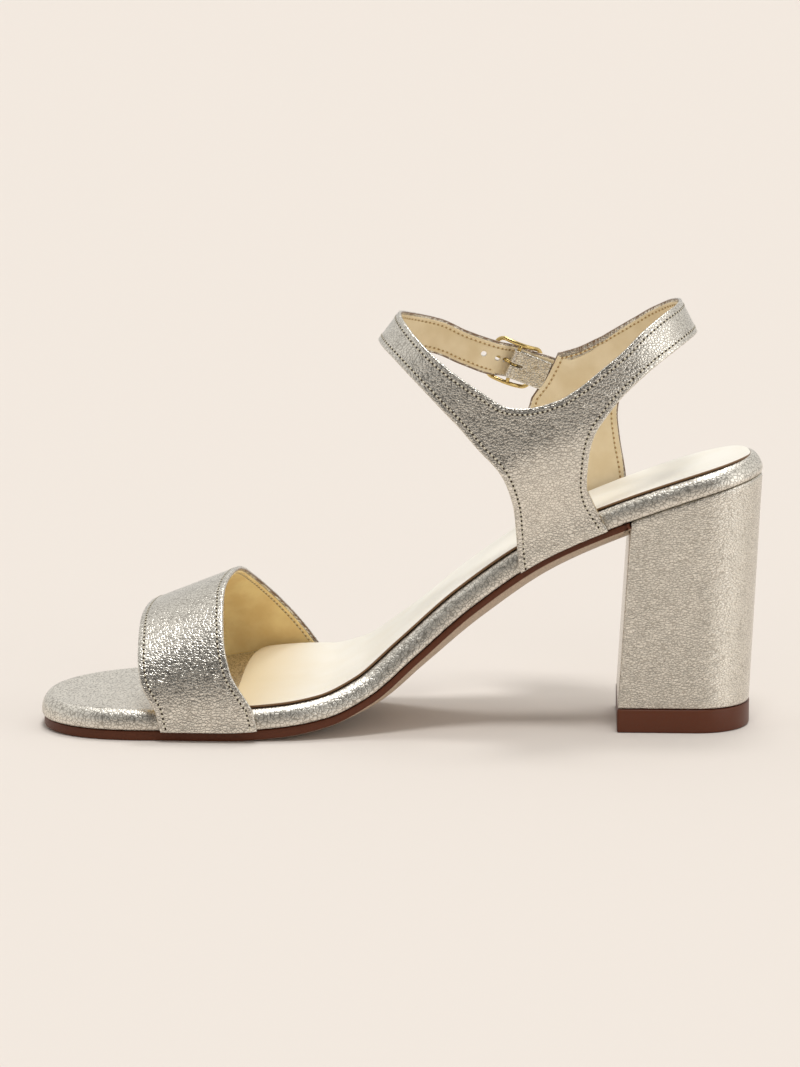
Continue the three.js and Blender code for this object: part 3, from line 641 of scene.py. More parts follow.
def sock_finish(name, colour, front):
    """Cream sock leather, warmer towards its front end under the vamp band, where the warmth is a
    painted gold reflection of the vamp lining.
    """
    made = Finish(name)
    x = made.node("ShaderNodeSeparateXYZ", {0: made.where}).outputs["X"]
    # Painted reflection: the sock turns to the warm front colour towards the vamp band
    tone = made.mix(made.spread(x, -0.058, -0.018, 1, 0), colour, front)
    fine = made.noise(0.6, 3)
    mottled = made.mix(made.spread(made.noise(12, 2), 0.35, 0.7, 0, 0.12), tone, front)
    made.set(
        Base_Color=made.mix(made.edge_share(), mottled, linear(CUT_EDGE_AND_SHADE_BROWN)),
        Roughness=made.ramp(fine, 0.42, 0.55),
        Normal=made.bump(fine, 0.015, made.bump(made.noise(18, 1), 0.25)),
    )
    return made.material


def sole_leather(name, edge, underside_colour):
    """Outsole: a burnished dark edge and a tan underside, told apart by the piece's edge attribute."""
    made = Finish(name)
    fibre = made.noise(0.5, 4)
    tone = made.mix(made.edge_share(), underside_colour, edge)
    mottled = made.mix(made.spread(fibre, 0.35, 0.7, 0, 0.35), tone, linear((60, 30, 18)))
    made.set(
        Base_Color=mottled, Specular_IOR_Level=0.25,
        Roughness=made.ramp(fibre, 0.38, 0.55),
        Normal=made.bump(fibre, 0.04),
    )
    return made.material


def metal(name, colour):
    """Gilt metal, a little worn."""
    made = Finish(name)
    wear = made.noise(1.2, 3)
    made.set(
        Base_Color=made.mix(made.spread(wear, 0.3, 0.7, 0, 0.25), colour, linear((150, 118, 62))),
        Metallic=1.0,
        Roughness=made.ramp(wear, 0.17, 0.3),
        Normal=made.bump(made.noise(0.6, 2), 0.01),
    )
    return made.material


def plain(name, colour, roughness, grain, gloss):
    """A small thing's finish: one tone with a faint grain."""
    made = Finish(name)
    fine = made.noise(grain, 2)
    tone = made.mix(made.spread(fine, 0.3, 0.7, 0.15, 0), colour, linear((70, 60, 50)))
    made.set(
        Base_Color=tone, Roughness=roughness, Specular_IOR_Level=gloss, Normal=made.bump(fine, 0.02))
    return made.material


# Cell size in mm, stretch, depth in mm, colour of the creases (partly dye, partly painted shade), share of
# the own colour kept in the creases, and roughness
PEBBLED = {
    "strap_leather": (0.95, (0.85, 1, 1.15), 0.075, (84, 70, 56), 0.5, 0.28),
    "heel_cover_leather": (0.85, (0.7, 1, 1.35), 0.07, (92, 80, 64), 0.5, 0.3),
    "footbed_leather": (1.15, (0.9, 0.9, 0.9), 0.06, (92, 80, 64), 0.45, 0.4),
}
# A colour or its name in the panel, roughness, grain in mm and gloss
PLAIN = {
    "heel_rubber": ("heel_lift", 0.42, 0.5, 0.25),
    "thread": ("thread", 0.5, 0.3, 0.5),
    # Needle holes: dark marks painted as the shade inside the holes, near black outside and darker tan on
    # the lining
    "needle_hole": ((52, 42, 32), 0.8, 0.3, 0.2),
    "lining_thread": ((222, 202, 158), 0.6, 0.3, 0.5),
    "lining_needle_hole": ((166, 134, 90), 0.8, 0.3, 0.2),
    "cut_edge": ((150, 120, 84), 0.6, 0.3, 0.5),
}


def finish(name):
    """The named finish, made once from the colours in the panel."""
    known = bpy.data.materials.get(name)
    if known:
        return known
    group = bpy.context.scene.sandal_colours
    panel = {key: tuple(getattr(group, key)) for key in group.__annotations__}
    if name in PEBBLED:
        return pebbled(name, panel["metallic_leather"], *PEBBLED[name])
    if name in PLAIN:
        colour, *rest = PLAIN[name]
        return plain(name, panel[colour] if colour in panel else linear(colour), *rest)
    if name == "lining_leather":
        return smooth_leather(name, panel["lining"], (216, 195, 155))
    # The vamp lining is the cream lining warmed with a painted gold reflection from the metallic band
    if name == "vamp_lining_leather":
        return smooth_leather(name, panel["vamp_lining"], (226, 194, 130))
    if name == "cream_sock":
        return sock_finish(name, panel["sock"], panel["sock_front"])
    if name == "burnished_sole":
        return sole_leather(name, panel["sole_edge"], panel["sole_underside"])
    return metal(name, panel["buckle"])


# Sole and heel


def footbed_levels():
    """Rings of the covered footbed: flat underside, short wall, top edge rounded as a quarter of an
    ellipse, and dished top."""
    loop = outline_loop(0, sole_length(), 260)
    spine = spine_of(loop, 20, sole_length() - 18)
    radius, top = FOOTBED_EDGE_RADIUS, FOOTBED_THICKNESS
    under = [(share, 0.9, 0) for share in (1, 0.6, 0.25, 0)]
    under += [(0, 0.45, 0.12), (0, 0.2, 0.5), (0, 0.04, 0.95), (0, 0, 1.4)]
    edge = [
        (0, radius * (1 - math.sin(angle)), top - FOOTBED_EDGE_DROP * (1 - math.cos(angle)))
        for angle in np.radians(np.linspace(90, 8, 12))
    ]
    over = [(share, radius, top) for share in (0, 0.04, 0.1, 0.2, 0.35, 0.5, 0.7, 0.85, 1)]
    levels = slab_levels(loop, spine, under) + slab_levels(loop, spine, edge, rim)
    return levels + slab_levels(loop, spine, over, hollow)


def sock_levels():
    """Rings of the sock and their marks: a thin sheet with a softly rounded, cut upper edge."""
    start = SOCK_START * sole_length()

    def front(along):
        return round_off((along - start) / SOCK_CORNER, (1, 2.5))

    outline = outline_loop(start, sole_length(), 240, front)
    spine = spine_of(outline, start + 22, sole_length() - 18)
    base = FOOTBED_THICKNESS + 1.5 * CLEARANCE
    steps = [(1, 0, 0), (0.5, 0, 0), (0, 0, 0), (0, 0, 0.45), (0, 0.08, 0.62), (0, 0.22, 0.74)]
    shares = (0, 0.03, 0.08, 0.18, 0.3, 0.45, 0.6, 0.8, 1)
    steps += [(share, 0.45, SOCK_THICKNESS) for share in shares]
    marks = [float(lift < 0.7) for share, distance, lift in steps]
    steps = [(share, distance, base + lift) for share, distance, lift in steps]
    levels = slab_levels(inset(outline, SOCK_INSET), spine, steps, hollow)
    return levels, np.repeat(marks, len(outline))


def outsole_piece():
    """Outsole: cambered underside, thin burnished edge; its back end meets the heel's breast."""
    end = sole_length() - BREAST_DEPTH - 0.5
    outline = outline_loop(0, end, 220)
    spine = spine_of(outline, 20, end - 14)
    loop = inset(outline, OUTSOLE_INSET)

    def camber_of(along, across):
        share = along / sole_length()
        edge = np.maximum(half_width(along, np.sign(across)) - OUTSOLE_INSET, 1)
        inside = np.clip(1 - np.abs(across / edge) ** CAMBER_POWER, 0, 1)
        return -CLEARANCE - OUTSOLE_THICKNESS * edge_at(share) - CAMBER * camber_at(share) * inside

    under = [(share, 0.5, 0) for share in (1, 0.8, 0.6, 0.4, 0.25, 0.12, 0.04, 0)]
    edge = [(0, 0.25, 0.12), (0, 0.08, 0.28), (0, 0, 0.5)]
    over = [(0, 0, -0.7), (0, 0.05, -0.45), (0, 0.3, -0.3), (0.4, 0.3, -CLEARANCE), (1, 0.3, -CLEARANCE)]
    levels = slab_levels(loop, spine, under + edge, camber_of) + slab_levels(loop, spine, over)
    points, faces = slab(levels)
    points[:, 2] = np.maximum(points[:, 2], 0)
    marks = np.repeat([0] * len(under) + [1] * (len(edge) + len(over)), len(loop))
    return marked_piece("outsole_leather", points, faces, marks, finish("burnished_sole"))


def heel_loop(length, width_at, corner, count=90):
    """D shaped loop of (from the breast, across): filleted breast corners and a rounded back."""
    t = np.concatenate([
        corner * (1 - np.cos(np.linspace(0, np.pi / 2, 8)[:-1])),
        corner + (length - corner) * np.sin(np.linspace(0, np.pi / 2, count)),
    ])
    fillet = corner - np.sqrt(np.maximum(corner**2 - (corner - np.minimum(t, corner)) ** 2, 0))
    medial = np.stack([t, -(width_at(t, -1) - fillet)], -1)
    lateral = np.stack([t, width_at(t, 1) - fillet], -1)[::-1]
    front = np.linspace(0, 1, 22)[1:-1, None]
    closing = lateral[-1] + (medial[0] - lateral[-1]) * front
    return np.concatenate([medial, lateral[1:], closing])


def heel_base_loop(proud):
    length = HEEL_BASE_LENGTH + 2 * proud
    half = HEEL_BASE_WIDTH / 2 + proud

    def width(t, side):
        return half * round_off((length - t) / length, HEEL_BASE_ROUND)

    front = sole_length() - HEEL_BASE_BACK - HEEL_BASE_LENGTH - proud
    return heel_loop(length, width, HEEL_CORNER) + [front, 0]


def heel_block_points():
    """Heel: straight lines from the D shaped base to the seat's outline, slightly waisted."""
    base = heel_base_loop(0)
    breast = sole_length() - BREAST_DEPTH

    def width(t, side):
        return np.maximum(half_width(np.minimum(breast + t, sole_length()), side) - HEEL_INSET, 0)

    seat = heel_loop(BREAST_DEPTH - HEEL_INSET, width, HEEL_CORNER) + [breast, 0]
    seat[:, 1] = np.where(seat[:, 0] > sole_length() - HEEL_INSET - 0.01, 0, seat[:, 1])
    low = LIFT_THICKNESS + CLEARANCE

    def level(share, distance, drawn):
        seat_ring = shrunk(seat, distance, drawn)
        top = place(seat_ring[:, 0], seat_ring[:, 1], -CLEARANCE)
        bottom = np.column_stack([shrunk(base, distance, drawn), np.full(len(base), low)])
        point = bottom + (top - bottom) * share
        point[:, 1] *= 1 - HEEL_WAIST * math.sin(math.pi * share)
        return point

    steps = [(0, 0.3, 1), (0, 0.3, 0.5), (0, 0.3, 0), (0.004, 0.1, 0), (0.01, 0, 0)]
    steps += [(share, 0, 0) for share in np.linspace(0.04, 0.96, 24)]
    steps += [(0.99, 0, 0), (0.996, 0.1, 0), (1, 0.3, 0), (1, 0.3, 0.5), (1, 0.3, 1)]
    rings = [level(*step) for step in steps]
    return np.concatenate(rings), ring_faces(len(rings), len(base))


def heel_lift_points():
    """Top piece under the heel: a D shaped slab with softened edges."""
    base = heel_base_loop(LIFT_PROUD)
    top = LIFT_THICKNESS
    steps = [(0, 0.6, 1), (0, 0.6, 0.5), (0, 0.6, 0), (0.12, 0.25, 0), (0.45, 0.04, 0), (0.8, 0, 0)]
    steps += [(3, 0, 0), (top - 0.4, 0, 0), (top - 0.1, 0.08, 0)]
    steps += [(top, 0.3, 0), (top, 0.3, 0.5), (top, 0.3, 1)]
    rings = [
        np.column_stack([shrunk(base, distance, drawn), np.full(len(base), z)])
        for z, distance, drawn in steps
    ]
    return np.concatenate(rings), ring_faces(len(rings), len(base))


# Vamp band and ankle upper


def vamp_grid(columns=44):
    """Inner face of the vamp band: x between the edge curves, z = base + rise sin(turn)^p and
    y = half width |cos(turn)|^p, less the crown's shift; below it a foot beside the footbed."""
    front_at, rear_at = through(VAMP, 1), through(VAMP, 2)
    arch = 180 * (0.5 - 0.5 * np.cos(np.linspace(0, np.pi, 150)))
    foot = np.linspace(0, 1, VAMP_FOOT_ROWS + 1)[1:]
    turn = np.concatenate([0 * foot, arch, 180 + 0 * foot])[:, None]
    depth = np.concatenate([foot[::-1], 0 * arch, foot])[:, None]
    share = np.linspace(0, 1, columns)[None, :]
    front = front_at(turn) + VAMP_FOOT_LEAN * depth
    rear = rear_at(turn) + VAMP_FOOT_LEAN * depth
    x = sole_length() * (front + (rear - front) * share)
    side = np.where(turn < 90, -1, 1) + np.zeros_like(x)
    angle = np.radians(turn)
    rise = VAMP_FRONT_RISE + (VAMP_REAR_RISE - VAMP_FRONT_RISE) * share
    rise = rise * np.abs(np.sin(angle)) ** VAMP_ROUND
    top, bottom = footbed_top(x), underside(x) + CLEARANCE
    base = top + (bottom - top) * depth
    along = along_at(x, base)
    half = half_width(along, side) + CLEARANCE + VAMP_EASE
    y = middle(along) + side * half * np.abs(np.cos(angle)) ** VAMP_ROUND
    y = y - VAMP_CROWN_SHIFT * np.sin(angle) ** 2
    return np.stack([x, y, base + rise], -1)[:, ::-1]


def seat_height():
    return underside(COLLAR_SEAT * sole_length())


def collar_height(share):
    return seat_height() + COLLAR_RISE * share


def ring_point(turn, z):
    """Inner face of the ankle ring at a turn and a height: a leaning superellipse that flares
    into the footbed's outline below it."""
    turn, z = np.broadcast_arrays(np.asarray(turn, float), np.asarray(z, float))
    above = z - seat_height() - COLLAR_RISE
    centre = RING_CENTRE * sole_length() + RING_LEAN * above
    power = 2 / RING_POWER
    c, s = np.cos(np.radians(turn)), -np.sin(np.radians(turn))
    reach = np.where(c < 0, RING_FRONT[0] - RING_FRONT[1] * above, RING_BACK[0] - RING_BACK[1] * above)
    x = centre + reach * np.sign(c) * np.abs(c) ** power
    ring_y = (RING_HALF_WIDTH[0] - RING_HALF_WIDTH[1] * above) * np.sign(s) * np.abs(s) ** power
    side = np.where(s < 0, -1, 1)
    along = along_at(x, z)
    foot = middle(along) + side * (half_width(along, side) + CLEARANCE + RING_EASE)
    free = smoothstep(z - footbed_top(np.clip(x, 0, sole_length())), 0, QUARTER_FLARE)
    return np.stack([x, foot + (ring_y - foot) * free, z], -1)


def ring_normal(turn, z):
    """Outward normal of the ring: (up the ring) x (on in turn), by differences."""
    onwards = ring_point(turn + 0.4, z) - ring_point(turn - 0.4, z)
    upwards = ring_point(turn, z + 0.3) - ring_point(turn, z - 0.3)
    return unit(np.cross(upwards, onwards))


def foot_height(turn):
    """Height of a quarter's foot, just above the outsole, by repeated substitution."""
    z = np.full(np.shape(turn), seat_height())
    for _ in range(12):
        x = np.clip(ring_point(turn, z)[..., 0], 0, sole_length())
        z = underside(x) + CLEARANCE
    return z


def ankle_grid(finer=14, across=20):
    """Inner face of the ankle upper: each rib runs straight in turn and height between its edges."""
    corners = [rib[5] for rib in RIBS]
    smooth = [0] * len(RIBS)
    feet = [float(foot_height(rib[0])) if rib[1] is None else collar_height(rib[1]) for rib in RIBS]
    at = np.arange((len(RIBS) - 1) * finer + 1) / finer
    low_turn = through_list([rib[0] for rib in RIBS], corners)(at)
    low = through_list(feet, corners)(at)
    for first, last in FOOT_RIBS:
        low = np.where((at >= first) & (at <= last), foot_height(low_turn), low)
    top_turn = through_list([rib[2] for rib in RIBS], smooth)(at)
    top = collar_height(through_list([rib[3] for rib in RIBS], smooth)(at))
    proud = np.maximum(through_list([rib[4] for rib in RIBS], smooth)(at), 0)
    share = np.linspace(1, 0, across)[None, :]
    turn = low_turn[:, None] + (top_turn - low_turn)[:, None] * share
    z = low[:, None] + (top - low)[:, None] * share
    normals = ring_normal(turn, z)
    grid = ring_point(turn, z) + normals * proud[:, None, None]
    standing = np.zeros(len(at), bool)
    for first, last in FOOT_RIBS:
        standing |= (at > first - 0.01) & (at < last + 0.01)
    return grid, normals, standing


def seam_runs(grid, normals, distance, skip):
    """Lines that run at a distance inside the sheet's border, as runs of (points, normals).

    Border points moved inwards by the distance; those nearer than that to another part of the
    border are dropped, which cleans the corners, and so are those on a skipped stretch."""
    points, up, out = border_frame(grid, normals)
    line = points - out * distance
    gaps = np.linalg.norm(line[:, None] - points[None, ~skip], axis=-1)
    keep = (gaps.min(1) > distance * 0.93) & ~skip
    starts = np.flatnonzero(~keep)
    order = np.roll(np.arange(len(line)), -(starts[0] if len(starts) else 0))
    runs, run = [], []
    for index in order:
        if run and (not keep[index] or np.linalg.norm(line[index] - line[run[-1]]) > 1.8):
            runs.append(run)
            run = []
        if keep[index]:
            run.append(index)
    if run:
        runs.append(run)
    return [(line[run], up[run]) for run in runs if len(run) > 6]


def even_points(points, normals, pitch):
    """Points at an even pitch along a line, with their way and normal."""
    step = np.linalg.norm(np.diff(points, axis=0), axis=1)
    reach = np.concatenate([[0], np.cumsum(step)])
    count = max(int(reach[-1] / pitch), 1)
    where = (np.arange(count) + 0.5) * reach[-1] / count

    def pick(values, at):
        return np.stack([np.interp(at, reach, values[:, k]) for k in range(3)], -1)

    way = unit(pick(points, where + 0.4) - pick(points, where - 0.4))
    return pick(points, where), way, unit(pick(normals, where))


def scattered(template, faces, centres, way, normal):
    """Copies of a small template: x along the way, z along the normal."""
    side = unit(np.cross(normal, way))
    upright = unit(np.cross(way, side))
    axes = np.stack([way, side, upright], 1)
    points = centres[:, None, :] + np.einsum("vk,nkc->nvc", template, axes)
    count = len(template)
    shifted = np.array(faces)[None] + (np.arange(len(centres)) * count)[:, None, None]
    return points.reshape(-1, 3), shifted.reshape(-1, len(faces[0])).tolist()


def bead(length, radius, height, along=6, around=6):
    """A rounded bead: r(t) = radius sqrt(1 - t^2) round the x axis, flattened to its height."""
    t = np.sin(np.linspace(-np.pi / 2, np.pi / 2, along + 1))
    angle = 2 * np.pi * np.arange(around) / around
    r = np.sqrt(np.maximum(1 - t**2, 0))[:, None]
    x = t[:, None] * length / 2 + np.zeros((1, around))
    points = np.stack([x, radius * r * np.cos(angle), height * r * np.sin(angle)], -1).reshape(-1, 3)
    return points, ring_faces(len(t), around)


def stitch(name, grid, normals, level, facing, skip, finishes):
    """Thread and needle holes of the seams along a sheet's border, at a level on its normals. The
    needle holes are flat dark beads: painted shade of the holes.
    """
    pitch, distance = sizes().stitch_pitch / MM, sizes().stitch_inset / MM
    thread = bead(pitch * 0.62, 0.3, 0.14)
    hole = bead(0.95, 0.34, 0.1)
    threads, holes = [], []
    for line, up in seam_runs(grid, normals, distance, skip):
        centres, way, up = even_points(line + up * level, up * facing, pitch)
        threads.append(scattered(*thread, centres, way, up))
        holes.append(scattered(*hole, centres + way * pitch / 2, way, up))
    for part, runs, material in zip(("thread", "needle_holes"), (threads, holes), finishes):
        finish_piece(new_piece(f"{name}_{part}", *joined(runs), finish(material)), "metallic_leather")


def border_skip(grid, rows_skipped):
    """True on the border's last column, the lower edge, in the rows that stand on the outsole."""
    i, j = border_indices(*grid.shape[:2])
    return rows_skipped[i] & (j == grid.shape[1] - 1)


# Buckle


def buckle_axes():
    """Columns: to the toe along the strap, up across it, outwards; and the seat of the buckle."""

    def at(turn, up):
        return ring_point(turn, collar_height(up))

    turn, up = BUCKLE_SEAT
    turns, ups = BUCKLE_SLOPE
    forward = unit(at(turn - turns, up + ups) - at(turn + turns, up - ups))
    outward = unit(np.cross(forward, at(turn, up + 0.08) - at(turn, up - 0.08)))
    return np.stack([forward, np.cross(outward, forward), outward]), at(turn, up)


def on_buckle(points):
    axes, seat = buckle_axes()
    return np.asarray(points) @ axes + seat


def rail_level(x):
    """How far out the rails lie: a parabola along the strap, steeper to the rear."""
    end = np.where(np.asarray(x) > 0, *RAIL_RISES)
    return CENTRE_BAR_LEVEL + end * (2 * x / (sizes().buckle_length / MM)) ** 2


def tube(path, radius, sides, closed, flat=1.0, reference=(0, 0, 1)):
    """A round bar: circles square to the path, their second axis flattened; ends drawn to a point."""
    path = np.asarray(path, float)
    radius = np.broadcast_to(radius, len(path))
    if closed:
        way = unit(np.roll(path, -1, 0) - np.roll(path, 1, 0))
    else:
        way = unit(np.gradient(path, axis=0))
    side = unit(np.cross(np.array(reference, float), way))
    up = np.cross(way, side)
    angle = 2 * np.pi * np.arange(sides) / sides
    circle = side[:, None] * np.cos(angle)[:, None] + flat * up[:, None] * np.sin(angle)[:, None]
    rings = path[:, None] + radius[:, None, None] * circle
    if closed:
        rings = np.concatenate([rings, rings[:1]])
    else:
        rings = np.concatenate([path[:1, None] + 0 * rings[:1], rings, path[-1:, None] + 0 * rings[:1]])
    return rings.reshape(-1, 3), ring_faces(len(rings), sides)


def joined(parts):
    points, faces, start = [], [], 0
    for part_points, part_faces in parts:
        points.append(part_points)
        faces.extend((np.array(part_faces) + start).tolist())
        start += len(part_points)
    return np.concatenate(points), faces


def frame_points():
    """Buckle frame: a rounded rectangle bent out at both ends, with a straight centre bar."""
    s = sizes()
    a = s.buckle_length / MM / 2 - BUCKLE_BAR
    b = s.buckle_width / MM / 2 - BUCKLE_BAR
    r = BUCKLE_CORNER
    path = []
    step = np.linspace(0, 1, 14)[1:-1, None]
    for corner, start, side_end in (
        ((a - r, b - r), 0, (r - a, b)), ((r - a, b - r), 90, (-a, r - b)),
        ((r - a, r - b), 180, (a - r, -b)), ((a - r, r - b), 270, (a, b - r)),
    ):
        turn = np.radians(start + np.linspace(0, 90, 14))
        path.append(corner + r * np.stack([np.cos(turn), np.sin(turn)], -1))
        path.append(path[-1][-1] + (side_end - path[-1][-1]) * step)
    flat = np.concatenate(path)
    ring = np.column_stack([flat, rail_level(flat[:, 0])])
    bar = np.column_stack([np.zeros(12), np.linspace(-b, b, 12), np.full(12, CENTRE_BAR_LEVEL)])
    return joined([tube(ring, BUCKLE_BAR, 14, True, 0.9), tube(bar, BUCKLE_BAR * 0.93, 12, False)])


def prong_points():
    """Prong: a loop round the centre bar, then a shank that lifts to rest on the front rail."""
    loop_wire = 0.38
    loop_radius = BUCKLE_BAR + 0.05 + loop_wire
    turn = np.radians(np.linspace(-50, -270, 30))
    loop = np.stack([loop_radius * np.cos(turn), CENTRE_BAR_LEVEL + loop_radius * np.sin(turn)], -1)
    top = CENTRE_BAR_LEVEL + loop_radius
    half = sizes().buckle_length / MM / 2
    tip = rail_level(half - BUCKLE_BAR) + BUCKLE_BAR + 2 * CLEARANCE + PRONG_RADIUS * 0.7
    share = np.linspace(0, 1, 26)[1:]
    shank = np.stack([share * (half - 0.3), top + (tip - top) * share**1.5], -1)
    flat = np.concatenate([loop, shank])
    path = np.column_stack([flat[:, 0], np.zeros(len(flat)), flat[:, 1]])
    swelling = loop_wire + (PRONG_RADIUS - loop_wire) * smoothstep(share, 0, 0.3)
    radius = np.concatenate([np.full(30, loop_wire), swelling * (1 - 0.35 * share**2)])
    return tube(path, radius, 12, False, 1.0, (0, 1, 0))


def strap_level(x):
    """How far out the strap's own surface lies, square to the seat, at places along the strap."""
    axes, seat = buckle_axes()
    share = np.linspace(2.2, -1.2, 60)
    turn = BUCKLE_SEAT[0] + share * BUCKLE_SLOPE[0]
    up = BUCKLE_SEAT[1] - share * BUCKLE_SLOPE[1]
    local = (ring_point(turn, collar_height(up)) - seat) @ axes.T
    return np.interp(x, local[:, 0], local[:, 2])


def tab_piece():
    """Leather tab folded round the centre bar, slit for the prong, its end let into the quarter."""
    layer, lift = TAB_LAYER, 0.1
    radius = BUCKLE_BAR + CLEARANCE + layer / 2
    rows, fold_rows, columns = 16, 24, 8
    turn = np.radians(np.linspace(-100, 100, fold_rows))
    fold = np.stack([radius * np.cos(turn), CENTRE_BAR_LEVEL + radius * np.sin(turn)], -1)
    back = np.linspace(-TAB_REACH, -1.6, rows)
    under = np.stack([back, layer / 2 + lift + strap_level(back)], -1)
    back = np.linspace(-1.9, -TAB_REACH, rows)
    swell = 0.9 * smoothstep(back, -4.5, -1.9)
    over = np.stack([back, 1.5 * layer + lift + strap_level(back) + swell], -1)
    profile = np.concatenate([under, fold, over])
    half, slit = TAB_WIDTH / 2, 0.5
    y = np.concatenate([np.linspace(-half, -slit, columns), np.linspace(slit, half, columns)])
    points = np.stack(np.broadcast_arrays(profile[:, None, 0], y[None, :], profile[:, None, 1]), -1)
    slit_rows = range(rows - 3, rows + fold_rows + 3)
    faces = [
        face for face in sheet_faces(len(profile), len(y))
        if face[0] % len(y) != columns - 1 or face[0] // len(y) not in slit_rows
    ]
    placed = on_buckle(points.reshape(-1, 3))
    piece = new_piece("buckle_tab_leather", placed, faces, finish("strap_leather"), closed=False)
    add_modifier(piece, "SOLIDIFY", thickness=TAB_LEATHER * MM, offset=0.0)
    add_modifier(piece, "BEVEL", width=0.14 * MM, segments=2, limit_method="ANGLE")
    settle(piece)
    return piece


def hole_cutters():
    """Round punches square to the strap at each hole, and a slot along the prong."""
    paths = [([[x, 0, z] for z in (-4, -3, 0, 3, 8, 9)], 20) for x in HOLE_PLACES]
    paths.append(([[2.2 + 1.1 * k, 0, 2.0 + 1.15 * k] for k in range(-1, 4)], 16))
    points, faces = joined(tube(path, HOLE_RADIUS, sides, False, 1.0, (0, 1, 0)) for path, sides in paths)
    return new_piece("hole_punch", on_buckle(points), faces, finish("cut_edge"))


def punch(piece, cutter):
    add_modifier(piece, "BOOLEAN", operation="DIFFERENCE", solver="MANIFOLD", object=cutter)
    settle(piece)


# Operators


def length_property(name, description, default):
    return bpy.props.FloatProperty(name=name, description=description, default=default, unit="LENGTH")


class SandalSizes(bpy.types.PropertyGroup):
    """Sizes of the sandal"""

    sole_length: length_property("Sole length", "From toe tip to heel back", 0.233)
    ball_width: length_property("Ball width", "Width of the footbed at the ball", 0.08)
    heel_rise: length_property("Heel rise", "Rise of the footbed from ball to seat", 0.0797)
    strap_wall: length_property("Strap wall", "Thickness of the ankle upper", 0.0016)
    vamp_wall: length_property("Vamp wall", "Thickness of the vamp band", 0.0018)
    stitch_pitch: length_property("Stitch pitch", "From needle hole to needle hole", 0.0016)
    stitch_inset: length_property("Stitch inset", "From the edge to the seam", 0.0016)
    buckle_length: length_property("Buckle length", "Along the strap", 0.0168)
    buckle_width: length_property("Buckle width", "Across the strap", 0.015)


def colour_property(name, description, colour):
    return bpy.props.FloatVectorProperty(
        name=name, description=description, subtype="COLOR", size=3, min=0, max=1, default=linear(colour))


class SandalColours(bpy.types.PropertyGroup):
    """Colours of the sandal and its stage"""

    metallic_leather: colour_property("Metallic leather", "Straps, footbed and heel cover", (234, 229, 218))
    lining: colour_property("Lining", "Inside of the ankle upper", (228, 210, 175))
    sock: colour_property("Sock", "Sock lining under the foot", (237, 233, 222))
    # The sock front colour is a painted gold reflection from the vamp lining, not the sock's own tone
    sock_front: colour_property("Sock front", "Sock lining under the vamp band", (218, 200, 162))
    # Vamp lining colour: the cream lining warmed with a painted gold reflection from the metallic band
    vamp_lining: colour_property("Vamp lining", "Inside of the vamp band", (242, 216, 152))
    sole_edge: colour_property("Sole edge", "Burnished edge of the outsole", (88, 46, 26))
    sole_underside: colour_property("Sole underside", "Tan underside", (204, 182, 158))
    heel_lift: colour_property("Heel lift", "Top piece under the heel", (90, 46, 27))
    thread: colour_property("Thread", "Stitching", (206, 198, 176))
    buckle: colour_property("Buckle", "Frame and prong", (222, 196, 132))
    floor: colour_property("Floor", "Floor and surroundings", (216, 208, 200))


class SANDAL_OT_sole(bpy.types.Operator):
    """Covered footbed, sock lining and outsole"""

    bl_idname = "sandal.sole"
    bl_label = "Footbed, Sock and Outsole"

    def execute(self, context):
        points, faces = slab(footbed_levels())
        piece = new_piece("footbed_cover", points, faces, finish("footbed_leather"))
        finish_piece(piece, "metallic_leather", "footbed")
        levels, marks = sock_levels()
        piece = marked_piece("sock_leather_sheet", *slab(levels), marks, finish("cream_sock"))
        finish_piece(piece, "sock_leather", "sock_lining")
        finish_piece(outsole_piece(), "sole_leather", "outsole")
        return {"FINISHED"}


class SANDAL_OT_heel(bpy.types.Operator):
    """Covered block heel and its lift"""

    bl_idname = "sandal.heel"
    bl_label = "Heel and Lift"

    def execute(self, context):
        points, faces = heel_block_points()
        piece = new_piece("heel_cover", points, faces, finish("heel_cover_leather"))
        finish_piece(piece, "metallic_leather", "heel_block")
        points, faces = heel_lift_points()
        piece = new_piece("heel_lift_rubber", points, faces, finish("heel_rubber"))
        finish_piece(piece, "lift_rubber", "heel_lift")
        return {"FINISHED"}


class SANDAL_OT_vamp(bpy.types.Operator):
    """Vamp band with its lining and seams"""

    bl_idname = "sandal.vamp"
    bl_label = "Vamp Band"

    def execute(self, context):
        grid = vamp_grid()
        thickness = sizes().vamp_wall / MM
        normals = grid_normals(grid)
        points, faces, marks = wall(grid, normals, 0.5, thickness, 0.45)
        piece = marked_piece("vamp_leather", points, faces, marks, finish("strap_leather"))
        finish_piece(piece, "metallic_leather", "vamp_band")
        points, faces, _ = wall(grid[:, 1:-1], normals[:, 1:-1], 0.0, 0.52, 0.15)
        lining = new_piece("vamp_lining", points, faces, finish("vamp_lining_leather"))
        finish_piece(lining, "sock_leather")
        i, _ = border_indices(*grid.shape[:2])
        last = grid.shape[0] - 1
        feet = (i == 0) | (i == last)
        stitch("vamp_outer", grid, normals, thickness + 0.02, 1, feet, OUTER_SEAM)
        hidden = VAMP_FOOT_ROWS + 4
        feet = (i < hidden) | (i > last - hidden)
        stitch("vamp_inner", grid, normals, -0.02, -1, feet, INNER_SEAM)
        return {"FINISHED"}


